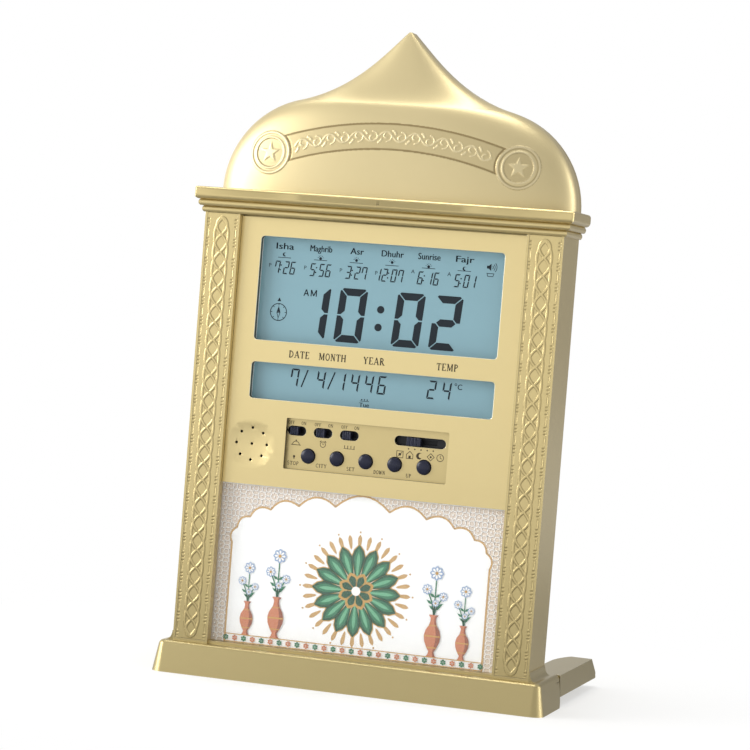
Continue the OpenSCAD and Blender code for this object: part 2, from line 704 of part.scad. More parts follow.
// Outline of the clock's back, drawn in by t
module back_outline(t) {
    polygon(concat([[half - t, case_z + t], [half - t, case_top]],
        [for (p = dome_half) [max(p[0] - t, 0.3), p[1] - t]],
        [for (i = [len(dome_half) - 1:-1:0]) [-max(dome_half[i][0] - t, 0.3), dome_half[i][1] - t]],
        [[-half + t, case_top], [-half + t, case_z + t]]));
}

module keyhole() {
    circle(r = keyhole_r);
    translate([-keyhole_slot / 2, 0]) square([keyhole_slot, keyhole_r + 7]);
}

module back_cover() color(gold) placed() difference() {
    union() {
        plate_xz(cover_inner, case_back) back_outline(0);
        plate_xz(front_d, cover_inner + 0.2) difference() { back_outline(0); back_outline(wall); }
        intersection() {
            cornice_body(case_back);
            span([-case_w, front_d, case_top], [case_w, case_back, dome_z]);
        }
        span([-bay_half - bay_wall, bay_front - bay_wall, bay_z - bay_half_h - bay_wall],
            [bay_half + bay_wall, cover_inner + 0.2, bay_z + bay_half_h + bay_wall]);
        both_sides() for (z = cover_screw_z) rod_y(post_x, z, front_d, cover_inner + 0.2, post_r);
    }
    span([-inner_half, front_d - 1, case_top - 4], [inner_half, cover_inner, dome_z + 1]);
    span([-bay_half, bay_front, bay_z - bay_half_h], [bay_half, case_back + 1, bay_z + bay_half_h]);
    span([-door_w / 2 - run_gap, cover_inner + 0.05, bay_z - door_h / 2 - run_gap],
        [door_w / 2 + run_gap, case_back + 1, bay_z + door_h / 2 + run_gap]);
    translate([-door_w / 2 - 1.6, door_y, door_axis_z]) rotate([0, 90, 0])
        cylinder(r = hinge_r + 0.08, h = door_w + 3.2);
    for (x = [-1, 1]) translate([x * keyhole_pitch / 2, 0, keyhole_z]) plate_xz(front_d, case_back + 1)
        keyhole();
    both_sides() for (z = cover_screw_z) {
        rod_y(post_x, z, front_d - 1, case_back + 1, screw_r + pin_gap);
        rod_y(post_x, z, cover_head_y, case_back + 1, head_r + seat_gap);
    }
}

// Door: hangs from two short pins at its upper edge, with a finger notch at its lower edge
module battery_door() color(gold) placed() difference() {
    union() {
        span([-door_w / 2, door_y - door_t / 2, bay_z - door_h / 2],
            [door_w / 2, door_y + door_t / 2, door_axis_z]);
        translate([-door_w / 2, door_y, door_axis_z]) rotate([0, 90, 0]) cylinder(d = door_t, h = door_w);
        translate([-door_w / 2 - 1.4, door_y, door_axis_z]) rotate([0, 90, 0])
            cylinder(r = hinge_r, h = door_w + 2.8);
    }
    translate([0, door_y + door_t / 2 + 4, bay_z - door_h / 2 + 4]) sphere(r = 5);
    for (k = [0:3]) span([-10, door_y + door_t / 2 - 0.4, bay_z - 4 + 2.4 * k],
        [10, door_y + door_t, bay_z - 3 + 2.4 * k]);
}

module cell(z, side) color("#c8a24a") placed()
    translate([0, cell_y, z]) mirror([side, 0, 0]) rotate([0, 90, 0]) {
        low = cell_shift - cell_l / 2;
        translate([0, 0, low]) cylinder(d = cell_d, h = cell_l - 1.4);
        translate([0, 0, low + cell_l - 1.5]) cylinder(d = 5.4, h = 1.5);
    }
cell_shift = 1.6;
module upper_cell() cell(bay_z + cell_dz, 0);
module lower_cell() cell(bay_z - cell_dz, 1);

// Contact springs press on the flat end of each cell
spring_turns = 3.5;
spring_steps = 10;
spring_foot_r = 4.6;
spring_top_r = 2.4;
spring_wire_r = 0.35;
spring_end = spring_wire_r + 0.05;
contact_t = 0.5;
contact_half = 5;
spring_length = spring_room / 2 + cell_shift - 0.6;
module contact_springs() color(steel) placed() for (s = [[-1, bay_z + cell_dz], [1, bay_z - cell_dz]])
    translate([s[0] * (bay_half - contact_t), cell_y, s[1]]) mirror([s[0] > 0 ? 1 : 0, 0, 0])
        rotate([0, 90, 0]) tube([for (i = [0:spring_turns * spring_steps])
            let (a = 360 * i / spring_steps, f = i / (spring_turns * spring_steps))
            let (r = spring_foot_r + (spring_top_r - spring_foot_r) * f)
                [r * cos(a), r * sin(a), spring_end + f * (spring_length - 2 * spring_end)]],
            spring_wire_r, 6, [0, 0, 1]);

module contact_plates() color(steel) placed() both_sides() for (z = [-1, 1])
    translate([bay_half - contact_t, cell_y, bay_z + z * cell_dz])
        span([0, -contact_half, -contact_half], [contact_t, contact_half, contact_half]);

module battery_leads() color("#222222") placed() for (dx = [0, 2]) translate([bay_half + dx, 0, 0]) tube([
    [-8, bay_front + 2, bay_z + bay_half_h + bay_wall], [-8, bay_front + 2, bay_z + bay_half_h + 5],
    [4, control_y + 6, plate_low - 4], [12, control_y + 5, plate_high],
    [12, chip_y + 3, holder_low + 3], [12, chip_y + 1.4, holder_low + 4],
    [12, chip_y + 0.1, holder_low + 4]], lead_r, 6, [1, 0.3, 0.2]);

// ---------- base ----------

// A front corner of the bar: a leaning round post with a rounded upper edge
edge_steps = 6;
corner_r = bar_draft + bar_edge_r + 1;
module corner_post() rotate_extrude($fn = 32) polygon(concat([[0, 0], [corner_r, 0]],
    arc(corner_r - bar_draft - bar_edge_r, bar_h - bar_edge_r, bar_edge_r, 0, 90, edge_steps), [[0, bar_h]]));

// The bar's leaning sides, which run on past the end blocks
module bar_shell() hull() both_sides() for (y = [corner_r - bar_front, pivot_y + block_r + 1])
    translate([bar_w / 2 - corner_r, y, 0]) corner_post();

// The round end that a leg turns in
block_edge_r = 1.6;
module end_block() rotate_extrude() polygon(concat([[0, 0], [block_r, 0]],
    arc(block_r - block_edge_r, bar_h - block_edge_r, block_edge_r, 0, 90, edge_steps), [[0, bar_h]]));

// Hollow moulding between the case's side and the bar
cove_lip = 0.3;
module foot_cove() plate_xz(0, case_back) polygon(concat([[half, bar_h - 0.1], [half + cove_w, bar_h - 0.1]],
    [for (i = [edge_steps:-1:0]) let (a = 90 * i / edge_steps)
        [half + cove_w - (cove_w - cove_lip) * cos(a), bar_h + cove_h * (1 - sin(a))]],
    [[half, bar_h + cove_h]]));

module base_bar() color(gold) placed() difference() {
    union() {
        intersection() {
            bar_shell();
            union() {
                span([-bar_w, -bar_front - 1, -1], [bar_w, bar_waist, bar_h + 1]);
                both_sides() {
                    span([pivot_x, bar_waist - 1, -1], [pivot_x + block_r, pivot_y, bar_h + 1]);
                    translate([pivot_x, pivot_y, 0]) end_block();
                }
            }
        }
        both_sides() foot_cove();
    }
    both_sides() {
        span([pivot_x - 12, pivot_y - tongue_r - run_gap, tongue_z - run_gap],
            [pivot_x, pivot_y + 12, tongue_z + tongue_h + run_gap]);
        span([pivot_x - 1, pivot_y, tongue_z - run_gap],
            [pivot_x + tongue_r + run_gap, pivot_y + 12, tongue_z + tongue_h + run_gap]);
        translate([pivot_x, pivot_y, tongue_z - run_gap])
            cylinder(r = tongue_r + run_gap, h = tongue_h + 2 * run_gap);
        translate([pivot_x, pivot_y, -1]) cylinder(d = pin_d + 2 * pin_gap, h = bar_h);
        translate([post_x, base_screw_y, -1]) cylinder(r = screw_r + pin_gap, h = bar_h + 2);
        translate([post_x, base_screw_y, -1]) cylinder(r = head_r + 0.4, h = base_sink + 1);
    }
}

// Outline of a leg seen from above, pivot at the origin, tip towards +Y, outer side towards +X
tip_out_r = 2.5;
tip_in_w = block_r + leg_out - tip_out_r;
tip_in_l = 30;
module leg_outline() polygon(concat([[-block_r, 0], [leg_out, 0]],
    arc(leg_out - tip_out_r, leg_l - tip_out_r, tip_out_r, 0, 90, 6),
    [for (i = [0:12]) let (a = 90 + 90 * i / 12)
        [-block_r + tip_in_w + tip_in_w * cos(a), leg_l - tip_in_l + tip_in_l * sin(a)]]));

module leg(side) color(gold) placed() mirror([side < 0 ? 1 : 0, 0, 0])
    translate([pivot_x, pivot_y, 0]) difference() {
    union() {
        difference() {
            intersection() {
                translate([0, 0, leg_z]) linear_extrude(leg_h) leg_outline();
                bar_yz(-block_r, block_r) polygon([[0, leg_z], [leg_l - 1.2, leg_z], [leg_l, leg_z + 1.2],
                    [leg_l - leg_rake, leg_z + leg_h], [0, leg_z + leg_h]]);
                plate_xz(-1, leg_l + 1) polygon([[-block_r, leg_z], [leg_out, leg_z],
                    [leg_out - leg_draft, leg_z + leg_h], [-block_r, leg_z + leg_h]]);
            }
            translate([0, 0, leg_z - 1]) cylinder(r = block_r + run_gap, h = leg_h + 2);
        }
        translate([-tongue_r, 0, tongue_z]) cube([2 * tongue_r, block_r + 3, tongue_h]);
        translate([0, 0, tongue_z]) cylinder(r = tongue_r, h = tongue_h);
    }
    translate([0, 0, tongue_z - 1]) cylinder(d = pin_d + 2 * pin_gap, h = tongue_h + 2);
}
module left_leg() leg(-1);
module right_leg() leg(1);

module leg_pins() color(steel) placed() both_sides()
    translate([pivot_x, pivot_y, 0.8]) cylinder(d = pin_d, h = bar_h - 2);

// ---------- screws ----------

// A screw along Z with its head at z = 0, pointing up
module screw(r, hr, ht, l) {
    cylinder(r = hr, h = ht);
    translate([0, 0, ht - 0.1]) cylinder(r = r, h = l + 0.1);
}

module base_screws() color(steel) placed() both_sides()
    translate([post_x, base_screw_y, base_sink - head_t])
        screw(screw_r, head_r, head_t, case_z - base_sink + base_post_h - 2);

// A screw along -Y whose head rests on the plane y
module screw_y(x, y, z, r, hr, ht, l) translate([x, y + ht, z]) rotate([90, 0, 0]) screw(r, hr, ht, l);

module fascia_screws() color(steel) placed() both_sides() for (z = fascia_screw_z)
    screw_y(flange_half - 2.4, fascia_back, z, small_r, small_head_r, small_head_t,
        fascia_back - strip_pocket - 0.6);
module backing_screws() color(steel) placed() both_sides() for (z = backing_screw_z)
    screw_y(flange_half - 2.4, backing_y + backing_t, z, small_r, small_head_r, small_head_t,
        backing_y + backing_t - strip_pocket - 0.6);
module board_screws() color(steel) placed() board_screw_places()
    screw_y(0, chip_y, 0, small_r, small_head_r, small_head_t, chip_y - fascia_back);
cover_head_y = case_back - head_t - 0.4;
module cover_screws() color(steel) placed() both_sides() for (z = cover_screw_z)
    screw_y(post_x, cover_head_y, z, screw_r, head_r, head_t, cover_head_y - front_d + screw_reach);

front_case();
pillar_strip_left();
pillar_strip_right();
cornice();
dome_cap();
fascia();
control_plate();
stop_button();
city_button();
set_button();
down_button();
up_button();
sound_switch_knob();
alarm_switch_knob();
call_switch_knob();
mode_switch_knob();
slide_switch_bodies();
mode_switch_body();
tact_switches();
control_board();
display_holder();
main_display();
lower_display();
main_backlight();
lower_backlight();
connector_strips();
main_board();
main_chip();
sound_chip();
crystal();
capacitors();
ribbon_cable();
speaker_basket();
speaker_cone();
speaker_magnet();
speaker_leads();
picture_sheet();
picture_card();
picture_backing();
back_cover();
battery_door();
upper_cell();
lower_cell();
contact_springs();
contact_plates();
battery_leads();
base_bar();
left_leg();
right_leg();
leg_pins();
base_screws();
fascia_screws();
board_screws();
backing_screws();
cover_screws();
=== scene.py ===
"""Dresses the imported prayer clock: satin gold mouldings, two displays, controls, picture panel and back."""
import json
import logging
import math
from collections.abc import Callable, Iterable, Sequence
from dataclasses import dataclass, field, replace
from enum import Enum
from typing import ClassVar

import bmesh
import bpy
import numpy as np
from mathutils import Matrix, Vector


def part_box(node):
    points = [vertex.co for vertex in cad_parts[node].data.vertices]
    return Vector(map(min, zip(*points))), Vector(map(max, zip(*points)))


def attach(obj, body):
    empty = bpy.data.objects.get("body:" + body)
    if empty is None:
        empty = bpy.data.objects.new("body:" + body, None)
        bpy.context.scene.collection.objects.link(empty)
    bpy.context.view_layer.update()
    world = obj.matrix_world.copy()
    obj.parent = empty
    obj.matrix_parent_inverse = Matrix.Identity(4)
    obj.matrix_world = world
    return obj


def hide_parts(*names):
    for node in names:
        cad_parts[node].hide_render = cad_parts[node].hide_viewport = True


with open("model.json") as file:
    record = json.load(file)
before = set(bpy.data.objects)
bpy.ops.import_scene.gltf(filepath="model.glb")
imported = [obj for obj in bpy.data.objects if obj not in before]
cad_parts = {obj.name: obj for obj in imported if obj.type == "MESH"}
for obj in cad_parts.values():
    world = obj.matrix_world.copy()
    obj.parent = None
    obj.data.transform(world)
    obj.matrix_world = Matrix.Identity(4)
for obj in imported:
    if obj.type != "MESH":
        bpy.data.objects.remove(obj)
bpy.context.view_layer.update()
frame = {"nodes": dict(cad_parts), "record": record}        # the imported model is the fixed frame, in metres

LOG = logging.getLogger("prayer_clock")
MM = 0.001
FRONT_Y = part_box("front_case")[0].y
BODY = "clock"
Point = tuple[float, float]
Colour = tuple[float, float, float, float]
Point3 = tuple[float, float, float]
Sockets = dict[str, bpy.types.NodeSocket]


def at(x: float, y: float, z: float) -> Vector:
    """A point in the frame.

    Args:
        x: millimetres right of the middle.
        y: millimetres behind the pillar fronts.
        z: millimetres above the table.

    Returns:
        The point in metres.
    """
    return Vector((x * MM, FRONT_Y + y * MM, z * MM))


def span_of(node: str) -> tuple[Vector, Vector]:
    """The corners of a CAD node in millimetres, with y measured behind the pillar fronts.

    Args:
        node: the node's name.

    Returns:
        Its lowest and its highest corner.
    """
    low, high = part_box(node)
    shift = Vector((0, FRONT_Y, 0))
    return (low - shift) / MM, (high - shift) / MM


def polar(x: float, z: float, radius: float, turn: float) -> Point:
    """The point at a distance and an angle from another.

    Args:
        x: the other point.
        z: the other point.
        radius: the distance.
        turn: the angle in radians, from X towards Z.

    Returns:
        The point.
    """
    return x + radius * math.cos(turn), z + radius * math.sin(turn)


def arc(x: float, z: float, radius: float, start: float, end: float, count: int) -> list[Point]:
    """Points on an arc.

    Args:
        x: its middle.
        z: its middle.
        radius: its radius.
        start: the angle of its first point in radians.
        end: the angle of its last.
        count: number of points.

    Returns:
        The points.
    """
    return [polar(x, z, radius, turn) for turn in np.linspace(start, end, count)]


def circle(x: float, z: float, radius: float, count: int) -> list[Point]:
    """Points on a whole circle.

    Args:
        x: its middle.
        z: its middle.
        radius: its radius.
        count: number of points.

    Returns:
        The points.
    """
    return [polar(x, z, radius, math.tau * k / count) for k in range(count)]


def oblong(left: float, foot: float, right: float, top: float) -> list[Point]:
    """Corners of an upright oblong.

    Args:
        left: its left side.
        foot: its foot.
        right: its right side.
        top: its top.

    Returns:
        The corners.
    """
    return [(left, foot), (right, foot), (right, top), (left, top)]


# ---------------------------------------------------------------- shared effects


class Socket(Enum):
    """Kinds of socket on a shared effect."""

    COLOUR = "NodeSocketColor"
    VALUE = "NodeSocketFloat"


class Wiring:
    """Adds and joins nodes in one node tree."""

    def __init__(self, tree: bpy.types.NodeTree) -> None:
        """Args:
            tree: the tree that is filled.
        """
        self.tree = tree

    def add(self, kind: str, **values: object) -> bpy.types.Node:
        """Adds a node.

        Args:
            kind: the node's type name.
            values: attributes of the node, or its input sockets by name with _ for a space.

        Returns:
            The node.
        """
        node = self.tree.nodes.new(kind)
        for name, value in values.items():
            if hasattr(node, name):
                setattr(node, name, value)
            else:
                self.feed(value, node.inputs[name.replace("_", " ")])
        return node

    def feed(self, value: object, socket: bpy.types.NodeSocket) -> None:
        """Links a socket to an input, or sets the input's value.

        Args:
            value: a socket or a plain value.
            socket: the input.
        """
        if isinstance(value, bpy.types.NodeSocket):
            self.tree.links.new(value, socket)
        else:
            socket.default_value = value

    def maths(self, operation: str, first: object, second: object = 0.0) -> bpy.types.NodeSocket:
        """One Math node.

        Args:
            operation: the operation's name.
            first: the first value or socket.
            second: the second value or socket.

        Returns:
            The result's socket.
        """
        node = self.add("ShaderNodeMath", operation=operation)
        self.feed(first, node.inputs[0])
        self.feed(second, node.inputs[1])
        return node.outputs[0]

    def mix(self, factor: object, first: object, second: object) -> bpy.types.NodeSocket:
        """A colour mix.

        Args:
            factor: share of the second colour.
            first: the first colour or socket.
            second: the second colour or socket.

        Returns:
            The mixed colour's socket.
        """
        node = self.add("ShaderNodeMix", data_type="RGBA")
        self.feed(factor, node.inputs["Factor"])
        self.feed(first, node.inputs[6])
        self.feed(second, node.inputs[7])
        return node.outputs[2]

    def blend(self, share: bpy.types.NodeSocket, first: bpy.types.Node,
              second: bpy.types.Node) -> bpy.types.NodeSocket:
        """A mix of two shaders.

        Args:
            share: share of the second.
            first: the first shader.
            second: the second shader.

        Returns:
            The mixed shader's socket.
        """
        node = self.add("ShaderNodeMixShader")
        for place, value in enumerate((share, first.outputs[0], second.outputs[0])):
            self.feed(value, node.inputs[place])
        return node.outputs[0]

    def ramp(self, value: bpy.types.NodeSocket, low: float, high: float, start: float,
             end: float) -> bpy.types.NodeSocket:
        """A smooth step from one level to another.

        Args:
            value: the value that drives it.
            low: where the step starts.
            high: where it ends.
            start: the level before it.
            end: the level after it.

        Returns:
            The level's socket.
        """
        node = self.add("ShaderNodeMapRange", interpolation_type="SMOOTHSTEP", Value=value, From_Min=low,
                        From_Max=high, To_Min=start, To_Max=end)
        return node.outputs[0]


def effect(name: str, sockets: dict[str, Socket], gives: dict[str, Socket],
           fill: Callable[[Wiring, Sockets], Sockets]) -> bpy.types.NodeTree:
    """Builds a shared effect once.

    Args:
        name: the group's name.
        sockets: names and kinds of its inputs.
        gives: names and kinds of its outputs.
        fill: makes the nodes; it gets the inputs and returns the outputs by name.

    Returns:
        The node group.
    """
    known = bpy.data.node_groups.get(name)
    if known:
        return known
    tree = bpy.data.node_groups.new(name, "ShaderNodeTree")
    for label, kind in sockets.items():
        tree.interface.new_socket(name=label, in_out="INPUT", socket_type=kind.value)
    for label, kind in gives.items():
        tree.interface.new_socket(name=label, in_out="OUTPUT", socket_type=kind.value)
    wiring = Wiring(tree)
    start = tree.nodes.new("NodeGroupInput")
    end = tree.nodes.new("NodeGroupOutput")
    results = fill(wiring, {label: start.outputs[label] for label in sockets})
    for label, socket in results.items():
        tree.links.new(socket, end.inputs[label])
    return tree


def noise(wiring: Wiring, scale: object, detail: float, roughness: float = 0.55) -> bpy.types.NodeSocket:
    """Noise over the object's own metres.

    Args:
        wiring: the tree.
        scale: features per metre.
        detail: octaves.
        roughness: weight of the finer octaves.

    Returns:
        The noise value's socket.
    """
    place = wiring.add("ShaderNodeTexCoord")
    cloud = wiring.add("ShaderNodeTexNoise", Vector=place.outputs["Object"], Scale=scale,
                       Detail=detail, Roughness=roughness)
    return cloud.outputs["Fac"]


def tone_drift() -> bpy.types.NodeTree:
    """Colour that drifts between two tones in broad clouds and fine mottling.

    Returns:
        The node group.
    """
    def fill(w: Wiring, given: Sockets) -> Sockets:
        """Args:
            w: the tree.
            given: the inputs.

        Returns:
            The outputs.
        """
        broad = noise(w, given["Scale"], 2.0)
        fine = noise(w, w.maths("MULTIPLY", given["Scale"], 22.0), 4.0, 0.7)
        cloud = w.maths("ADD", w.maths("MULTIPLY", broad, 0.65), w.maths("MULTIPLY", fine, 0.35))
        share = w.maths("MULTIPLY", w.maths("SUBTRACT", cloud, 0.32), given["Amount"])
        held = w.add("ShaderNodeClamp", Value=share)
        return {"Colour": w.mix(held.outputs[0], given["Colour"], given["Other"])}

    return effect("tone_drift",
                  {"Colour": Socket.COLOUR, "Other": Socket.COLOUR, "Scale": Socket.VALUE,
                   "Amount": Socket.VALUE},
                  {"Colour": Socket.COLOUR}, fill)


def fine_grain() -> bpy.types.NodeTree:
    """Height and roughness of a fine sprayed or moulded grain.

    Returns:
        The node group.
    """
    def fill(w: Wiring, given: Sockets) -> Sockets:
        """Args:
            w: the tree.
            given: the inputs.

        Returns:
            The outputs.
        """
        grain = noise(w, given["Scale"], 3.0, 0.6)
        orange = noise(w, w.maths("MULTIPLY", given["Scale"], 0.16), 1.0, 0.5)
        height = w.maths("ADD", w.maths("MULTIPLY", grain, 0.5), w.maths("MULTIPLY", orange, 0.5))
        swing = w.maths("MULTIPLY", w.maths("SUBTRACT", grain, 0.5), given["Spread"])
        return {"Height": height, "Roughness": w.maths("ADD", given["Roughness"], swing)}

    return effect("fine_grain", {"Scale": Socket.VALUE, "Roughness": Socket.VALUE, "Spread": Socket.VALUE},
                  {"Height": Socket.VALUE, "Roughness": Socket.VALUE}, fill)


def painted_shade_and_highlight() -> bpy.types.NodeTree:
    """Paints shade into a colour where the mesh marks hollows, and paints a highlight on the edges that it
    marks.

    Returns:
        The node group.
    """
    def fill(w: Wiring, given: Sockets) -> Sockets:
        """Args:
            w: the tree.
            given: the inputs.

        Returns:
            The outputs.
        """
        recess = w.add("ShaderNodeAttribute", attribute_name="recess")
        edge = w.add("ShaderNodeAttribute", attribute_name="edge")
        # Painted shade by the mesh's hollow marks, then a painted highlight by its edge marks.
        low = w.maths("MULTIPLY", recess.outputs["Fac"], given["Depth"])
        high = w.maths("MULTIPLY", edge.outputs["Fac"], given["Rub"])
        shaded = w.mix(low, given["Colour"], given["Shade"])
        return {"Colour": w.mix(high, shaded, given["Bright"])}

    return effect("painted_shade_and_highlight",
                  {"Colour": Socket.COLOUR, "Shade": Socket.COLOUR, "Bright": Socket.COLOUR,
                   "Depth": Socket.VALUE, "Rub": Socket.VALUE},
                  {"Colour": Socket.COLOUR}, fill)


# ---------------------------------------------------------------- finishes


def rgb(red: float, green: float, blue: float) -> Colour:
    """An opaque linear colour.

    Args:
        red: share of red.
        green: share of green.
        blue: share of blue.

    Returns:
        The colour with its alpha.
    """
    return red, green, blue, 1.0


@dataclass(frozen=True)
class Finish:
    """A surface: two drifting tones, a grain and a gloss, with painted shade in the hollows and a painted
    highlight on the edges that a mesh marks.

    The record's slot names the stock that the piece is made of.
    """

    name: str
    slot: str
    colour: Colour
    other: Colour
    roughness: float
    metallic: float = 0.0
    spread: float = 0.1
    grain: float = 9000.0
    relief: float = 0.00001
    cloud: float = 9.0
    drift: float = 0.8
    # Painted shade: its colour, and its share in marked hollows; painted highlight: its colour, and its share
    # on marked edges.
    shade: Colour = rgb(0.05, 0.04, 0.02)
    highlight_colour: Colour = rgb(0.9, 0.9, 0.9)
    recess: float = 0.0
    painted_highlight: float = 0.0
    coat: float = 0.0
    coat_roughness: float = 0.1
    specular: float = 0.5
    alpha: float = 1.0

    def material(self) -> bpy.types.Material:
        """Builds the material, or finds it when it exists.

        Returns:
            The material.
        """
        known = bpy.data.materials.get(self.name)
        if known:
            return known
        made = bpy.data.materials.new(self.name)
        made.use_nodes = True
        made.diffuse_color = self.colour
        w = Wiring(made.node_tree)
        shader = made.node_tree.nodes["Principled BSDF"]
        tone = w.add("ShaderNodeGroup", node_tree=tone_drift(), Colour=self.colour, Other=self.other,
                     Scale=self.cloud, Amount=self.drift)
        colour = tone.outputs["Colour"]
        # Painted shade and painted highlight from the mesh's marks.
        if self.recess or self.painted_highlight:
            marked = w.add("ShaderNodeGroup", node_tree=painted_shade_and_highlight(), Colour=colour, Shade=self.shade,
                           Bright=self.highlight_colour, Depth=self.recess, Rub=self.painted_highlight)
            colour = marked.outputs["Colour"]
        grain = w.add("ShaderNodeGroup", node_tree=fine_grain(), Scale=self.grain,
                      Roughness=self.roughness, Spread=self.spread)
        bump = w.add("ShaderNodeBump", Distance=self.relief, Strength=1.0, Height=grain.outputs["Height"])
        w.feed(colour, shader.inputs["Base Color"])
        w.feed(grain.outputs["Roughness"], shader.inputs["Roughness"])
        w.feed(bump.outputs["Normal"], shader.inputs["Normal"])
        for socket, value in (("Metallic", self.metallic), ("Specular IOR Level", self.specular),
                              ("Coat Weight", self.coat), ("Coat Roughness", self.coat_roughness),
                              ("Alpha", self.alpha)):
            shader.inputs[socket].default_value = value
        return made


def ink(name: str, colour: Colour, other: Colour, roughness: float = 0.38, cloud: float = 60.0,
        relief: float = 0.000003, metallic: float = 0.0) -> Finish:
    """A printing ink on the picture card.

    Args:
        name: the ink's name, without the word ink.
        colour: its tone.
        other: the tone that it drifts to.
        roughness: its roughness.
        cloud: clouds per metre.
        relief: depth of its grain in metres.
        metallic: share of metal powder in it.

    Returns:
        The finish.
    """
    return Finish(name + "_ink", "printed_card", colour, other, roughness, metallic, cloud=cloud,
                  relief=relief)


# The gold lacquer: its shade colour is painted into marked hollows as shade, and its pale colour onto marked
# edges as a highlight.
GOLD = Finish("satin_gold_lacquer", "gold_lacquer", rgb(0.635, 0.512, 0.238), rgb(0.570, 0.448, 0.194), 0.34,
              metallic=0.85, spread=0.10, grain=5200.0, relief=0.000012, cloud=7.0, drift=0.7,
              shade=rgb(0.22, 0.155, 0.055), highlight_colour=rgb(0.93, 0.89, 0.72), recess=0.85, painted_highlight=0.7,
              coat=0.45, coat_roughness=0.24)
# The same lacquer painted lighter for the fascia, as light falls on it, with near-black painted shade on its
# window walls.
FASCIA_GOLD_PAINTED_LIGHT = replace(GOLD, name="satin_gold_lacquer_fascia_painted_light", colour=rgb(0.75, 0.612, 0.30),
                      other=rgb(0.675, 0.54, 0.247), shade=rgb(0.07, 0.052, 0.022), recess=1.0)
# The same lacquer, rougher and with a softer coat on the dome, and painted a paler, bluer gold that stands in
# for its whiter highlights.
DOME_GOLD_PAINTED_HIGHLIGHT = replace(GOLD, name="satin_gold_lacquer_dome_painted_highlight", colour=rgb(0.63, 0.525, 0.285),
                    other=rgb(0.57, 0.465, 0.24), roughness=0.42, coat=0.5, coat_roughness=0.42)
# The same lacquer painted darker for the base bar and legs, as painted shade.
BASE_GOLD_PAINTED_SHADE = replace(GOLD, name="satin_gold_lacquer_base_painted_shade", colour=rgb(0.47, 0.382, 0.178),
                    other=rgb(0.42, 0.334, 0.145))
# The navy moulding, with a lighter navy painted on marked edges as a highlight.
KEY = Finish("navy_black_moulding", "black_plastic", rgb(0.012, 0.014, 0.030), rgb(0.020, 0.022, 0.040), 0.30,
             spread=0.12, grain=7000.0, relief=0.00001, cloud=60.0, coat=0.15, painted_highlight=0.25,
             highlight_colour=rgb(0.10, 0.11, 0.16), specular=0.22)
SLOT_DARK = Finish("dark_switch_well", "dark_plastic", rgb(0.008, 0.009, 0.014), rgb(0.014, 0.015, 0.02), 0.5,
                   cloud=50.0)
LCD = Finish("blue_grey_display", "display_glass", rgb(0.200, 0.350, 0.405), rgb(0.225, 0.380, 0.435), 0.22,
             spread=0.04, grain=16000.0, relief=0.000002, cloud=6.0, drift=1.3, specular=0.4, coat=0.25,
             coat_roughness=0.05)
SEGMENT = Finish("display_segment", "display_glass", rgb(0.016, 0.022, 0.028), rgb(0.024, 0.032, 0.04), 0.25,
                 spread=0.03, cloud=40.0, relief=0.000001, specular=0.15)
INK = Finish("screen_print_ink", "gold_lacquer", rgb(0.040, 0.030, 0.018), rgb(0.065, 0.050, 0.030), 0.55,
             cloud=90.0, drift=1.2, grain=16000.0, relief=0.000004, specular=0.2)
# Zinc plated steel, with a pale painted highlight on any marked edge.
STEEL = Finish("zinc_plated_steel", "steel", rgb(0.56, 0.57, 0.60), rgb(0.42, 0.43, 0.46), 0.30,
               metallic=1.0, spread=0.15, cloud=80.0, painted_highlight=0.3)
BOARD = Finish("green_solder_mask", "circuit_board", rgb(0.03, 0.13, 0.055), rgb(0.02, 0.09, 0.04), 0.35,
               cloud=70.0, coat=0.4)
WHITE = Finish("white_moulding", "white_plastic", rgb(0.80, 0.81, 0.78), rgb(0.72, 0.73, 0.70), 0.5,
               cloud=30.0)
DARK = Finish("dark_moulding", "dark_plastic", rgb(0.03, 0.03, 0.034), rgb(0.045, 0.045, 0.05), 0.5,
              cloud=40.0)
RUBBER = Finish("strip_rubber", "strip_rubber", rgb(0.40, 0.35, 0.50), rgb(0.34, 0.30, 0.44), 0.7, cloud=90.0)
SLEEVE = Finish("capacitor_sleeve", "capacitor_sleeve", rgb(0.03, 0.06, 0.16), rgb(0.02, 0.04, 0.11), 0.3)
PAPER = Finish("pressed_cone_paper", "cone_paper", rgb(0.02, 0.02, 0.021), rgb(0.035, 0.034, 0.032), 0.85,
               grain=3000.0, relief=0.00004)
MAGNET = Finish("magnet_can", "magnet", rgb(0.25, 0.25, 0.27), rgb(0.2, 0.2, 0.22), 0.4, metallic=0.9)
WIRE = Finish("wire_insulation", "wire_insulation", rgb(0.35, 0.03, 0.025), rgb(0.28, 0.025, 0.02), 0.45)
CARD = Finish("coated_white_card", "printed_card", rgb(0.88, 0.885, 0.88), rgb(0.84, 0.845, 0.84), 0.42,
              cloud=14.0, relief=0.000003)
GREY = Finish("pressed_grey_board", "grey_board", rgb(0.24, 0.235, 0.22), rgb(0.19, 0.185, 0.17), 0.8,
              grain=2600.0, relief=0.00004)
CELL = Finish("cell_sleeve", "cell_sleeve", rgb(0.42, 0.25, 0.07), rgb(0.35, 0.2, 0.05), 0.3, cloud=30.0)
LATTICE_GROUND = ink("lattice_ground", rgb(0.68, 0.575, 0.47), rgb(0.74, 0.63, 0.53), 0.42, cloud=40.0)
LATTICE_SHADE = ink("lattice_shade", rgb(0.40, 0.29, 0.215), rgb(0.46, 0.34, 0.25), 0.42, cloud=40.0)
LATTICE_WHITE = ink("lattice_white", rgb(0.90, 0.88, 0.845), rgb(0.86, 0.83, 0.79), 0.40, cloud=40.0)
FIELD_WHITE = ink("field_white", rgb(0.91, 0.915, 0.915), rgb(0.87, 0.88, 0.885), cloud=12.0, relief=0.000002)
GOLD_INK = ink("gold", rgb(0.58, 0.34, 0.09), rgb(0.46, 0.25, 0.06), 0.36, metallic=0.25)
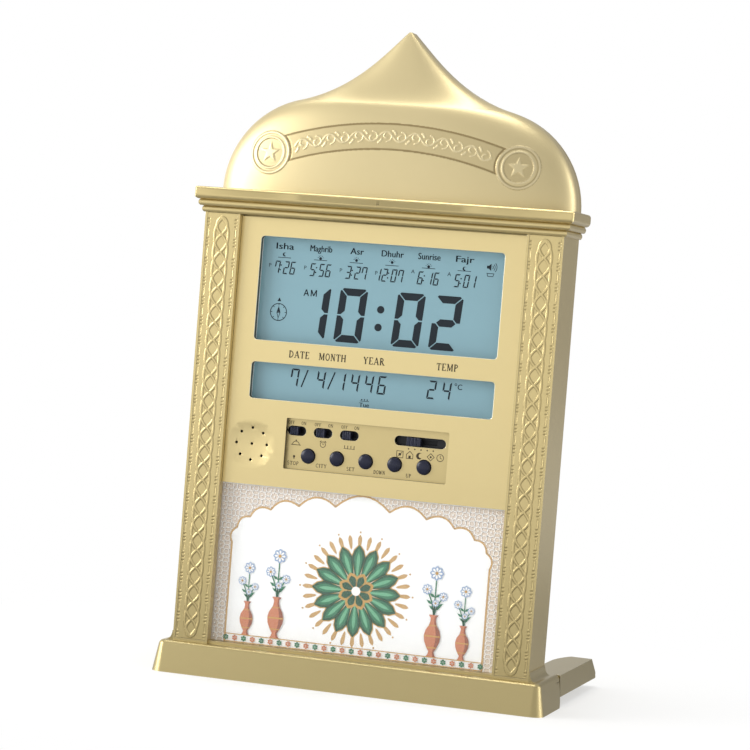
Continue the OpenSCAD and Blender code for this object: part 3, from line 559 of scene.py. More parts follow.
GREEN_DEEP = ink("deep_green", rgb(0.006, 0.085, 0.035), rgb(0.004, 0.055, 0.022))
GREEN_MID = ink("mid_green", rgb(0.018, 0.185, 0.085), rgb(0.012, 0.14, 0.06))
GREEN_LIGHT = ink("light_green", rgb(0.14, 0.42, 0.24), rgb(0.10, 0.34, 0.18))
BLUE_INK = ink("blue_grey", rgb(0.27, 0.38, 0.58), rgb(0.34, 0.45, 0.64))
CLAY_INK = ink("terracotta", rgb(0.56, 0.20, 0.095), rgb(0.47, 0.15, 0.07))
CLAY_DEEP = ink("deep_terracotta", rgb(0.29, 0.085, 0.04), rgb(0.24, 0.07, 0.03))
CLEAR = Finish("clear_acrylic", "clear_sheet", rgb(0.95, 0.97, 0.98), rgb(0.93, 0.95, 0.96), 0.05,
               spread=0.02, relief=0.000001, alpha=0.07)

NODE_FINISH: dict[str, Finish] = {node: finish for finish, nodes in (
    (SLOT_DARK, "slide_switch_bodies mode_switch_body"), (DARK, "tact_switches main_chip sound_chip"),
    (BOARD, "control_board main_board"),
    (WHITE, "display_holder main_backlight lower_backlight ribbon_cable"),
    (RUBBER, "connector_strips"), (SLEEVE, "capacitors"), (PAPER, "speaker_cone"), (MAGNET, "speaker_magnet"),
    (WIRE, "speaker_leads battery_leads"), (CLEAR, "picture_sheet"), (GREY, "picture_backing"),
    (CELL, "upper_cell lower_cell"), (LCD, "main_display lower_display"),
    (STEEL, "crystal speaker_basket contact_springs contact_plates leg_pins fascia_screws board_screws "
            "backing_screws")) for node in nodes.split()}


# ---------------------------------------------------------------- mesh helpers


def link(name: str, data: bpy.types.ID) -> bpy.types.Object:
    """Makes an object and puts it in the scene.

    Args:
        name: its name.
        data: its mesh, curve, light or camera.

    Returns:
        The object.
    """
    made = bpy.data.objects.new(name, data)
    bpy.context.scene.collection.objects.link(made)
    return made


def baked(holder: bpy.types.Object) -> bpy.types.Mesh:
    """Makes a mesh of an object as it shows, and removes the object.

    Args:
        holder: the object.

    Returns:
        The mesh.
    """
    bpy.context.view_layer.update()
    made = bpy.data.meshes.new_from_object(holder.evaluated_get(bpy.context.evaluated_depsgraph_get()))
    bpy.data.objects.remove(holder)
    return made


def mesh_of(name: str, places: Sequence[Sequence[float]], faces: Sequence[Sequence[int]]) -> bpy.types.Mesh:
    """Makes a mesh of places and faces.

    Args:
        name: its name.
        places: its vertices in metres.
        faces: the vertices of each face.

    Returns:
        The mesh.
    """
    made = bpy.data.meshes.new(name)
    made.from_pydata(places, [], faces)
    made.update()
    return made


def closed_off(work: bmesh.types.BMesh, name: str) -> bpy.types.Mesh:
    """Writes worked geometry to a mesh and frees it.

    Args:
        work: the geometry.
        name: the mesh's name.

    Returns:
        The mesh.
    """
    made = bpy.data.meshes.new(name)
    work.to_mesh(made)
    work.free()
    return made


def adopt(mesh: bpy.types.Mesh, name: str, finish: Finish, body: str = BODY,
          stands_for: Sequence[str] = ()) -> bpy.types.Object:
    """Makes a dressed piece that rides on a body.

    Args:
        mesh: the piece's mesh, in the frame.
        name: the piece's name.
        finish: its finish.
        body: the body that it rides on.
        stands_for: the CAD nodes that it replaces.

    Returns:
        The piece.
    """
    piece = link(name, mesh)
    mesh.materials.clear()
    mesh.materials.append(finish.material())
    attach(piece, body)
    if stands_for:
        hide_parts(*stands_for)
    LOG.info("%s: %d faces on %s", name, len(mesh.polygons), body)
    return piece


def smooth(mesh: bpy.types.Mesh, angle: float = 35.0) -> None:
    """Shades a mesh smooth up to an angle.

    Args:
        mesh: the mesh.
        angle: edges steeper than this stay sharp, in degrees.
    """
    for polygon in mesh.polygons:
        polygon.use_smooth = True
    mesh.set_sharp_from_angle(angle=math.radians(angle))


def mark(mesh: bpy.types.Mesh, name: str, values: np.ndarray) -> None:
    """Writes one value per vertex for the finishes to read.

    Args:
        mesh: the mesh of a relief.
        name: the attribute's name.
        values: the values of the grid, which come first; the skirt behind it gets none.
    """
    layer = mesh.attributes.new(name, "FLOAT", "POINT")
    skirt = np.zeros(len(mesh.vertices) - values.size)
    layer.data.foreach_set("value", np.concatenate([values.ravel(), skirt]).astype(np.float32))


class FlatWork:
    """Collects flat outlines in X and Z and makes one thin raised film of them."""

    def __init__(self) -> None:
        """Starts with no outline."""
        self.outlines: list[list[Point]] = []

    def shape(self, points: Iterable[Point]) -> None:
        """Adds one outline.

        Args:
            points: its corners in millimetres.
        """
        self.outlines.append([(float(x), float(z)) for x, z in points])

    def disc(self, x: float, z: float, radius: float, steps: int = 28) -> None:
        """Adds a disc.

        Args:
            x: its middle.
            z: its middle.
            radius: its radius.
            steps: corners.
        """
        self.shape(circle(x, z, radius, steps))

    def stroke(self, path: Sequence[Point], width: float, closed: bool = False) -> None:
        """Adds a line of constant width as mitred quads.

        Args:
            path: the points that it follows.
            width: its width.
            closed: whether it returns to its start.
        """
        points = [Vector(p) for p in path]
        count = len(points)
        left, right = [], []
        for i, point in enumerate(points):
            before = points[i - 1] if closed or i else point
            after = points[(i + 1) % count] if closed or i < count - 1 else point
            behind, ahead = point - before, after - point
            inward = (behind if behind.length else ahead).normalized()
            outward = ahead.normalized() if ahead.length else inward
            along = (inward + outward).normalized()
            side = Vector((-along.y, along.x))
            reach = width / 2 / max(0.35, abs(side.dot(Vector((-inward.y, inward.x)))))
            left.append(point + side * reach)
            right.append(point - side * reach)
        for i in range(count if closed else count - 1):
            j = (i + 1) % count
            self.shape([left[i].to_tuple(), left[j].to_tuple(), right[j].to_tuple(), right[i].to_tuple()])

    def ring(self, x: float, z: float, radius: float, width: float, steps: int = 32) -> None:
        """Adds a ring.

        Args:
            x: its middle.
            z: its middle.
            radius: radius of its centreline.
            width: width of the line.
            steps: corners.
        """
        self.stroke(circle(x, z, radius, steps), width, closed=True)

    def mesh(self, name: str, depth: float, thickness: float = 0.02) -> bpy.types.Mesh:
        """Makes the film.

        Args:
            name: the mesh's name.
            depth: millimetres behind the pillar fronts of its rear face.
            thickness: its thickness in millimetres.

        Returns:
            The mesh.
        """
        points: list[Vector] = []
        faces: list[list[int]] = []
        for outline in self.outlines:
            area = sum(a[0] * b[1] - b[0] * a[1] for a, b in zip(outline, outline[1:] + outline[:1]))
            ordered = outline if area > 0 else outline[::-1]
            base = len(points)
            count = len(ordered)
            points += [at(x, depth - thickness, z) for x, z in ordered]
            points += [at(x, depth, z) for x, z in ordered]
            faces.append([base + i for i in range(count)])
            faces.append([base + count + i for i in reversed(range(count))])
            faces += [[base + i, base + count + i, base + count + (i + 1) % count, base + (i + 1) % count]
                      for i in range(count)]
        return mesh_of(name, [p[:] for p in points], faces)


class Lettering:
    """Sets plain words in the built-in typeface, as outlines for a film."""

    def __init__(self) -> None:
        """Measures the typeface's capital height."""
        low, high = self._extent(self._word("H"))
        self.capital = high.y - low.y

    @staticmethod
    def _word(text: str) -> bpy.types.Mesh:
        """Args:
            text: the word.

        Returns:
            Its flat mesh.
        """
        curve = bpy.data.curves.new("word", "FONT")
        curve.body = text
        curve.size = 1.0
        curve.align_x = "CENTER"
        curve.resolution_u = 3
        made = baked(link("word", curve))
        bpy.data.curves.remove(curve)
        return made

    @staticmethod
    def _extent(mesh: bpy.types.Mesh) -> tuple[Vector, Vector]:
        """Args:
            mesh: a flat mesh.

        Returns:
            Its lowest and highest corner.
        """
        places = np.array([v.co[:] for v in mesh.vertices])
        return Vector(places.min(0)), Vector(places.max(0))

    def set(self, film: FlatWork, text: str, x: float, z: float, height: float, width: float | None = None,
            strike: float = 0.0) -> None:
        """Adds a word to a film.

        Args:
            film: the film.
            text: the word.
            x: the middle of the word.
            z: the foot of its capitals.
            height: the height of a capital.
            width: the width that the word fills, or its natural one.
            strike: how far a second strike stands beside the first, which makes the strokes bolder.
        """
        mesh = self._word(text)
        low, high = self._extent(mesh)
        tall = height / self.capital
        wide = width / (high.x - low.x) if width else tall
        middle = (low.x + high.x) / 2
        for shift in {-strike / 2, strike / 2}:
            for polygon in mesh.polygons:
                corners = [mesh.vertices[v].co for v in polygon.vertices]
                film.shape([(x + shift + (c.x - middle) * wide, z + c.y * tall) for c in corners])
        bpy.data.meshes.remove(mesh)


@dataclass(frozen=True)
class PressLetters:
    """Capitals with serifs, as a printer's block has them, drawn from stems, hairlines and bowls.

    Each letter has its width and its strokes, in shares of the capital height. A stem holds its place
    across and its two ends, a slope or a hairline its two ends, a bowl its middle, its two radii and its
    two end angles, and a foot its place across and up.
    """

    stem: float = 0.17
    hair: float = 0.085
    serif: float = 0.13
    space: float = 0.13

    SHAPES: ClassVar[dict[str, tuple[float, str]]] = {
        "A": (0.84, "hair 0.1 0 0.42 1, slope 0.42 1 0.74 0, hair 0.2 0.34 0.64 0.34, foot 0.1 0, "
                    "foot 0.74 0"),
        "C": (0.76, "bowl 0.42 0.5 0.33 0.46 50 310, hair 0.66 0.68 0.66 0.98"),
        "D": (0.80, "stem 0.16 0 1, bowl 0.18 0.5 0.52 0.46 90 -90"),
        "E": (0.68, "stem 0.16 0 1, hair 0.16 0.96 0.6 0.96, hair 0.16 0.5 0.46 0.5, "
                    "hair 0.16 0.04 0.62 0.04, hair 0.6 0.78 0.6 1, hair 0.62 0 0.62 0.22"),
        "F": (0.64, "stem 0.16 0 1, hair 0.16 0.96 0.6 0.96, hair 0.16 0.5 0.46 0.5, hair 0.6 0.76 0.6 1"),
        "H": (0.86, "stem 0.16 0 1, stem 0.7 0 1, hair 0.16 0.5 0.7 0.5"),
        "I": (0.36, "stem 0.18 0 1"),
        "M": (1.02, "hair 0.14 0 0.14 1, slope 0.16 1 0.5 0.08, hair 0.5 0.08 0.84 1, stem 0.86 0 1, "
                    "foot 0.14 0, foot 0.12 1"),
        "N": (0.86, "hair 0.15 0 0.15 1, slope 0.15 1 0.7 0.05, hair 0.7 0 0.7 1, foot 0.15 0, "
                    "foot 0.12 1, foot 0.7 1"),
        "O": (0.80, "bowl 0.4 0.5 0.31 0.46 0 360"),
        "P": (0.70, "stem 0.16 0 1, bowl 0.18 0.73 0.4 0.235 90 -90"),
        "R": (0.80, "stem 0.16 0 1, bowl 0.18 0.75 0.38 0.22 90 -90, slope 0.36 0.5 0.68 0.02, "
                    "foot 0.72 0"),
        "S": (0.62, "bowl 0.3 0.74 0.2 0.22 30 270, bowl 0.3 0.27 0.22 0.25 90 -150"),
        "T": (0.74, "stem 0.37 0 0.98, hair 0.05 0.96 0.69 0.96, hair 0.05 0.76 0.05 1, "
                    "hair 0.69 0.76 0.69 1"),
        "U": (0.82, "slope 0.16 1 0.16 0.3, bowl 0.41 0.3 0.25 0.26 180 360, hair 0.67 0.3 0.67 1, "
                    "foot 0.16 1, foot 0.67 1"),
        "W": (1.06, "slope 0.1 1 0.3 0, hair 0.3 0 0.52 0.9, slope 0.52 0.9 0.74 0, hair 0.74 0 0.96 1, "
                    "foot 0.1 1, foot 0.96 1"),
        "Y": (0.80, "slope 0.12 1 0.4 0.45, hair 0.4 0.45 0.68 1, stem 0.4 0 0.46, foot 0.12 1, "
                    "foot 0.68 1"),
    }

    def set(self, film: FlatWork, text: str, left: float, right: float, z: float, height: float) -> None:
        """Adds a word between two places.

        Args:
            film: the film.
            text: the word in capitals.
            left: its left end.
            right: its right end.
            z: its foot.
            height: its height.
        """
        total = sum(self.SHAPES[letter][0] for letter in text) + self.space * (len(text) - 1)
        wide = (right - left) / total
        for letter in text:
            width, strokes = self.SHAPES[letter]
            for drawn in strokes.split(", "):
                kind, *numbers = drawn.split()
                for path, thick in self.lines(kind, [float(number) for number in numbers]):
                    film.stroke([(left + x * wide, z + y * height) for x, y in path], thick * height)
            left += (width + self.space) * wide

    def lines(self, kind: str, numbers: Sequence[float]) -> list[tuple[list[Point], float]]:
        """The lines of one stroke.

        Args:
            kind: stem, slope, hair, bowl or foot.
            numbers: its places.

        Returns:
            Each line's points and thickness as shares of the capital height.
        """
        if kind == "foot":
            x, y = numbers
            level = y + self.hair / 2 * (1 if y < 0.5 else -1)
            return [([(x - self.serif, level), (x + self.serif, level)], self.hair)] if self.serif else []
        if kind == "stem":
            x, low, high = numbers
            feet = [foot for y in (low, high) if y in (0, 1) for foot in self.lines("foot", (x, y))]
            return [([(x, low), (x, high)], self.stem), *feet]
        if kind == "bowl":
            x, y, across, up, start, end = numbers
            turn = np.radians(np.linspace(start, end, 15))
            path = [(x + across * math.cos(a), y + up * math.sin(a)) for a in turn]
            return [(path, (self.stem + self.hair) / 2)]
        x0, y0, x1, y1 = numbers
        return [([(x0, y0), (x1, y1)], self.stem if kind == "slope" else self.hair)]


# ---------------------------------------------------------------- reliefs and turned pieces


def relief_solid(name: str, front: np.ndarray, back: float) -> bpy.types.Mesh:
    """Closes a relief grid with a skirt down to a flat back.

    Args:
        name: the mesh's name.
        front: rows by columns by 3, in local millimetres; rows rise, columns run left to right.
        back: millimetres behind the pillar fronts of the flat back.

    Returns:
        The mesh.
    """
    rows, columns = front.shape[:2]
    index = np.arange(rows * columns).reshape(rows, columns)
    rim = [*index[0], *index[1:, -1], *index[-1, -2::-1], *index[-2:0:-1, 0]]
    behind = {v: rows * columns + k for k, v in enumerate(rim)}
    faces = [(int(index[i, j]), int(index[i, j + 1]), int(index[i + 1, j + 1]), int(index[i + 1, j]))
             for i in range(rows - 1) for j in range(columns - 1)]
    for a, b in zip(rim, rim[1:] + rim[:1]):
        faces.append((int(a), behind[a], behind[b], int(b)))
    floor = [behind[v] for v in index[0]] + [behind[index[1, -1]], behind[index[1, 0]]]
    roof = [behind[index[-2, 0]], behind[index[-2, -1]]] + [behind[v] for v in index[-1, ::-1]]
    bands = [[behind[index[i, 0]], behind[index[i, -1]], behind[index[i + 1, -1]], behind[index[i + 1, 0]]]
             for i in range(1, rows - 2)]
    faces += [tuple(reversed(ring)) for ring in [floor, roof, *bands]]
    flat = front.reshape(-1, 3)
    skirt = flat[rim].copy()
    skirt[:, 1] = back
    places = np.vstack([flat, skirt]) * MM + np.array([0.0, FRONT_Y, 0.0])
    return mesh_of(name, places.tolist(), faces)


def gap_to(path: np.ndarray, x: np.ndarray, z: np.ndarray) -> np.ndarray:
    """Distance from each place to a polyline.

    Args:
        path: the polyline's points, one row each.
        x: places across.
        z: places up.

    Returns:
        The distance of each place.
    """
    best = np.full(x.shape, 1e9)
    for (ax, az), (bx, bz) in zip(path[:-1], path[1:]):
        dx, dz = bx - ax, bz - az
        share = np.clip(((x - ax) * dx + (z - az) * dz) / (dx * dx + dz * dz + 1e-12), 0, 1)
        best = np.minimum(best, np.hypot(x - ax - share * dx, z - az - share * dz))
    return best


def bead(gap: np.ndarray, half_width: float, height: float) -> np.ndarray:
    """Height of a round bead at a distance from its middle line.

    Args:
        gap: distances.
        half_width: half of its width.
        height: its height.

    Returns:
        The heights.
    """
    return height * np.sqrt(np.clip(1 - (gap / half_width) ** 2, 0, 1))


def ribbon(gap: np.ndarray, half_width: float, height: float, flank: float = 0.26) -> np.ndarray:
    """Height of a flat ribbon with soft flanks at a distance from its middle line.

    Args:
        gap: distances.
        half_width: half of its width.
        height: its height.
        flank: width of its sloping side.

    Returns:
        The heights.
    """
    rise = np.clip((half_width - gap) / flank, 0, 1)
    return height * rise * rise * (3 - 2 * rise)


def turned(name: str, profile: Sequence[Point], turn: Matrix, steps: int = 64) -> bpy.types.Mesh:
    """A turned solid about the local Z axis.

    Args:
        name: the mesh's name.
        profile: radius and height in millimetres, from the axis at one end to the axis at the other.
        turn: places the solid in the frame, in metres.
        steps: facets round the axis.

    Returns:
        The mesh.
    """
    work = bmesh.new()
    rings: list[list[bmesh.types.BMVert]] = []
    for radius, height in profile:
        count = 1 if radius < 1e-6 else steps
        rings.append([work.verts.new(turn @ Vector((x, y, height * MM)))
                      for x, y in circle(0.0, 0.0, radius * MM, count)])
    for low, high in zip(rings, rings[1:]):
        for k in range(steps):
            n = (k + 1) % steps
            if len(low) == 1:
                work.faces.new((low[0], high[n], high[k]))
            elif len(high) == 1:
                work.faces.new((low[k], low[n], high[0]))
            else:
                work.faces.new((low[k], low[n], high[n], high[k]))
    bmesh.ops.recalc_face_normals(work, faces=work.faces)
    return closed_off(work, name)


# ---------------------------------------------------------------- dome


@dataclass
class Dome:
    """The onion dome with its engraved band, scrolls and two star medallions."""

    half: float = 78.0
    shoulder: float = 41.5
    sweep: float = 14.0
    bulge: float = 15.5
    power: float = 2.7
    rim_y: float = 21.0
    tip_half: float = 0.6
    hollow_pull: float = 24.0
    tip_pull: float = 9.5
    rows: int = 250
    columns: int = 600
    carved: Point = (212.0, 242.0)
    band_middle: Point = (0.0, 81.2)
    band_low: float = 146.2
    band_high: float = 157.0
    medallion: Point = (54.3, 223.3)
    clear: float = 9.8
    line_reach: float = 0.4
    line_half: float = 0.42
    line_depth: float = 0.12
    line_shade: float = 0.6
    vine_reach: float = 43.5
    vine_waves: int = 7
    vine_rise: float = 2.1
    stem_half: float = 0.42
    tendril_half: float = 0.36
    leaf_half: float = 0.5
    scroll_relief: float = 0.17
    scroll_shade: float = 0.22
    rings: tuple[tuple[float, float], ...] = ((8.7, 0.6), (6.6, 0.5))
    ring_relief: float = 0.19
    grooves: tuple[float, ...] = (8.0, 6.0, 9.3)
    groove_half: float = 0.5
    groove_shade: float = 0.9
    medal_radius: float = 9.3
    floor_radius: float = 6.0
    floor_depth: float = 0.12
    floor_shade: float = 0.28
    crest_highlight_height: float = 1.2

    def build(self) -> None:
        """Makes the dome in place of its node."""
        x, z, width = self.grid()
        depth = self.bulge * (width / self.half) ** 0.75
        share = np.clip(np.abs(x) / width, 0, 1)
        y = self.rim_y - depth * (1 - share ** self.power) ** (1 / self.power)
        height, recess = self.carving(x, z)
        fade = np.clip((1 - share) / 0.02, 0, 1)
        front = np.stack([x, y - height * fade, z], axis=2)
        mesh = relief_solid("dome_moulding", front, span_of("dome_cap")[1].y)
        # Painted shade in the carving's grooves and hollows; painted highlight on its raised parts, full at
        # the crest height.
        mark(mesh, "recess", recess)
        mark(mesh, "edge", np.clip(height / self.crest_highlight_height, 0, 1))
        smooth(mesh, 62.0)
        adopt(mesh, "dome_moulding", DOME_GOLD_PAINTED_HIGHLIGHT, BODY, ["dome_cap"])

    def outline(self) -> np.ndarray:
        """Right half of the outline from its foot to its point, with finer steps where it is carved.

        Returns:
            One row of x and z for each grid row.
        """
        low, high = span_of("dome_cap")
        foot, top = low.z, high.z
        reach = self.half - self.shoulder
        turn = np.radians(np.linspace(0, 90 - self.sweep, 120))
        shoulder = np.stack([reach + self.shoulder * np.cos(turn),
                             foot + self.shoulder * np.sin(turn)], axis=1)
        lean = math.radians(self.sweep)
        start = np.array([reach + self.shoulder * math.sin(lean), foot + self.shoulder * math.cos(lean)])
        tip = np.array([self.tip_half, top])
        first = start + self.hollow_pull * np.array([-1, math.tan(lean)])
        second = tip + self.tip_pull * np.array([1, -1])
        t = np.linspace(0, 1, 200)[1:, None]
        hollow = ((1 - t) ** 3 * start + 3 * t * (1 - t) ** 2 * first + 3 * t * t * (1 - t) * second
                  + t ** 3 * tip)
        line = np.vstack([shoulder, hollow])
        run = np.concatenate([[0], np.cumsum(np.hypot(*np.diff(line, axis=0).T))])
        low_run, high_run = (np.interp(z, line[:, 1], run) for z in self.carved)
        fine = round(self.rows * 0.55)
        coarse = self.rows - fine
        share = low_run / (low_run + run[-1] - high_run)
        below = round(coarse * share)
        even = np.concatenate([np.linspace(0, low_run, below, endpoint=False),
                               np.linspace(low_run, high_run, fine, endpoint=False),
                               np.linspace(high_run, run[-1], coarse - below)])
        return np.stack([np.interp(even, run, line[:, 0]), np.interp(even, run, line[:, 1])], axis=1)

    def grid(self) -> tuple[np.ndarray, np.ndarray, np.ndarray]:
        """Places of the grid.

        Returns:
            x, z and the half width of the outline at each place.
        """
        line = self.outline()
        even = np.linspace(-1, 1, self.columns)
        across = 1.125 * even - 0.125 * even ** 9
        width = np.repeat(line[:, :1], self.columns, axis=1)
        return width * across[None, :], np.repeat(line[:, 1:], self.columns, axis=1), width

    def carving(self, x: np.ndarray, z: np.ndarray) -> tuple[np.ndarray, np.ndarray]:
        """Relief of the medallions, the band and its scrolls.

        Args:
            x: places across.
            z: places up.

        Returns:
            Heights in millimetres and the share of painted shade at each place.
        """
        height = np.zeros_like(x)
        recess = np.zeros_like(x)
        near_medallion = np.hypot(np.abs(x) - self.medallion[0], z - self.medallion[1])
        radius = np.hypot(x - self.band_middle[0], z - self.band_middle[1])
        inside = (radius > self.band_low) & (radius < self.band_high) & (near_medallion > self.clear)
        inside &= np.abs(x) < self.medallion[0]
        border = np.minimum(np.minimum(np.abs(radius - self.band_low), np.abs(radius - self.band_high)),
                            np.abs(near_medallion - self.clear))
        on_line = (radius > self.band_low - self.line_reach) & (radius < self.band_high + self.line_reach)
        on_line &= (near_medallion > self.clear - self.line_reach) & (np.abs(x) < self.medallion[0])
        height -= np.where(on_line, ribbon(border, self.line_half, self.line_depth), 0)
        # Painted shade along the engraved lines.
        recess = np.where(on_line, ribbon(border, self.line_shade, 1.0), recess)
        where = inside & (border > 0.5)
        scroll = np.zeros_like(x)
        for path, half_width in self.scrolls():
            raised = ribbon(gap_to(path, x[where], z[where]), half_width, self.scroll_relief)
            scroll[where] = np.maximum(scroll[where], raised)
        height = np.where(scroll > 0, np.maximum(height, scroll), height)
        # Painted shade on the ground between the scrolls.
        recess = np.where(where & (scroll < 0.05), np.maximum(recess, self.scroll_shade), recess)
        for side in (-1, 1):
            dx, dz = x - side * self.medallion[0], z - self.medallion[1]
            away = np.hypot(dx, dz)
            medal = np.maximum.reduce([bead(np.abs(away - ring), half, self.ring_relief)
                                       for ring, half in self.rings])
            floor = away < self.floor_radius
            medal = np.where(floor, self.star(dx, dz) - self.floor_depth, medal)
            touched = away < self.medal_radius
            groove = np.minimum.reduce([np.abs(away - ring) for ring in self.grooves])
            height = np.where(touched, medal, height)
            # Painted shade in the medallion grooves and on its sunk floor.
            shaded = np.clip(1 - groove / self.groove_half, 0, 1) * self.groove_shade
            shaded = np.where(floor & (medal < -0.08), self.floor_shade, shaded)
            recess = np.where(touched, shaded, recess)
        return height, recess

    @staticmethod
    def star(dx: np.ndarray, dz: np.ndarray, outer: float = 5.0, inner: float = 2.05,
             height: float = 0.9, flat: float = 0.22) -> np.ndarray:
        """A star with five points, flat on top with leaning sides.

        Args:
            dx: places across from its middle.
            dz: places up from its middle.
            outer: radius of its points.
            inner: radius of its corners.
            height: how steeply its sides rise.
            flat: height of its flat top.

        Returns:
            The heights.
        """
        step = math.pi / 5
        turn = np.mod(np.arctan2(dx, dz), 2 * step)
        turn = np.minimum(turn, 2 * step - turn)
        tip = np.array([outer, 0.0])
        corner = np.array([inner * math.cos(step), inner * math.sin(step)])
        normal = np.array([corner[1] - tip[1], tip[0] - corner[0]])
        reach = normal @ tip / (normal[0] * np.cos(turn) + normal[1] * np.sin(turn))
        return np.clip(height * (1 - np.hypot(dx, dz) / reach), 0, flat)

    def scrolls(self) -> list[tuple[np.ndarray, float]]:
        """Middle lines and half widths of a running vine: stem, curling tendrils and leaves.

        Returns:
            The paths.
        """
        middle = (self.band_low + self.band_high) / 2
        limit, waves = self.vine_reach, self.vine_waves
        pitch = 2 * limit / waves

        def place(run: np.ndarray, rise: np.ndarray) -> np.ndarray:
            """Args:
                run: distances along the band.
                rise: distances above its middle.

            Returns:
                The points in x and z.
            """
            turn, away = run / middle, middle + rise
            return np.stack([away * np.sin(turn), self.band_middle[1] + away * np.cos(turn)], axis=1)

        run = np.linspace(-limit, limit, waves * 22)
        paths = [(place(run, self.vine_rise * np.sin(math.tau * (run + limit) / pitch)), self.stem_half)]
        for k in range(waves * 2):
            foot = -limit + (k + 0.5) * pitch / 2
            side = 1 if k % 2 else -1
            turn = np.linspace(0, 0.95 * math.tau, 16)
            size = np.linspace(2.5, 0.9, 16)
            curl = place(foot + 0.5 + size * np.sin(turn), side * (-0.3 + size * np.cos(turn)))
            paths.append((curl, self.tendril_half))
            share = np.linspace(0, 1, 6)
            leaf = place(foot - 1.9 - 1.2 * share, side * (1.2 + 2.2 * share - 0.9 * share ** 2))
            paths.append((leaf, self.leaf_half))
        return paths


# ---------------------------------------------------------------- pillars


@dataclass
class PillarStrips:
    """The cast strips in the pillars: four woven strands between rows of short bars in threes."""

    half_width: float = 6.7
    ground: float = 0.1
    amplitude: float = 3.1
    swing: float = 1.4
    strand: float = 0.55
    relief: float = 0.15
    swell: float = 0.16
    shadow: float = 0.32
    lit_side_shadow_offset: float = 0.12
    bar_x: float = 6.0
    bar_half: float = 0.55
    bar_pitch: float = 1.45
    bar_thick: float = 0.26
    bar_shade: float = 0.6
    group_pitch: float = 8.4
    group_shift: float = 5.3
    rule_from: float = 2.6
    rule_half: float = 0.2
    rule_shade: float = 0.35
    engraved: float = 0.12
    cells: int = 24
    columns: int = 75
    rows: int = 700

    def build(self) -> None:
        """Makes both strips in place of their nodes."""
        for node in ("pillar_strip_left", "pillar_strip_right"):
            low, high = span_of(node)
            middle = (low.x + high.x) / 2
            across = np.linspace(-self.half_width, self.half_width, self.columns)
            up = np.linspace(low.z, high.z, self.rows)
            x, z = np.meshgrid(across, up)
            height, recess = self.braid(x, z, low.z, high.z)
            front = np.stack([x + middle, self.ground - height, z], axis=2)
            mesh = relief_solid(node + "_moulding", front, high.y)
            mark(mesh, "recess", recess)
            smooth(mesh, 62.0)
            adopt(mesh, node + "_moulding", GOLD, BODY, [node])

    def braid(self, x: np.ndarray, z: np.ndarray, low: float, high: float) -> tuple[np.ndarray, np.ndarray]:
        """Relief of the strands, the bars in threes and the rules between them.

        Args:
            x: places across from the strip's middle.
            z: places up.
            low: the strip's foot.
            high: the strip's top.

        Returns:
            Heights in millimetres and the share of painted shade at each place.
        """
        start, end = low + 0.6, high - 1.6
        cell = (end - start) / self.cells
        run = (z - start) / cell
        short = 1 - np.clip(np.minimum(run, self.cells - run), 0, 1)
        reach = self.amplitude * np.sqrt(1 - short * short)
        height = np.zeros_like(x)
        shadow = np.full(x.shape, 9.0)
        for quarter in range(4):
            turn = math.pi / 2 * (run + quarter)
            held = np.tanh(self.swing * np.sin(turn)) / math.tanh(self.swing)
            steep = self.swing * (1 - np.tanh(self.swing * np.sin(turn)) ** 2) / math.tanh(self.swing)
            slope = self.amplitude * math.pi / 2 / cell * np.cos(turn) * steep
            aside = (x - reach * held) / np.hypot(1, slope)
            gap = np.abs(aside)
            weave = 1 + self.swell * np.cos(2 * turn + quarter * math.pi)
            on = (run > -0.02) & (run < self.cells + 0.02)
            height = np.maximum(height, np.where(on, ribbon(gap, self.strand, self.relief) * weave, 0))
            # Painted shadow beside each strand, nearer and darker on its right side, as from a light on the
            # left.
            shadow = np.where(on, np.minimum(shadow, np.where(aside > 0, gap, gap + self.lit_side_shadow_offset)), shadow)
        pitch = self.bar_pitch
        group = np.mod(z - start - cell - self.group_shift, self.group_pitch) - self.group_pitch / 2
        row = np.abs(np.mod(group + pitch / 2, pitch) - pitch / 2)
        within = (z > start) & (z < end)
        side = np.abs(np.abs(x) - self.bar_x)
        bar = within & (np.abs(group) < 1.5 * pitch) & (side < self.bar_half) & (row < self.bar_thick)
        rule = within & (np.abs(group) > self.rule_from) & (side < self.rule_half)
        cut = np.where(bar | rule, self.engraved, 0.0)
        # Painted shade at the strands' feet and in the engraved bars and rules.
        recess = np.clip(1 - np.abs(shadow - self.strand) / self.shadow, 0, 1) * (height < 0.6 * self.relief)
        recess = np.maximum(recess, np.where(bar, self.bar_shade, 0.0) + np.where(rule, self.rule_shade, 0.0))
        return height - cut, recess


# ---------------------------------------------------------------- displays


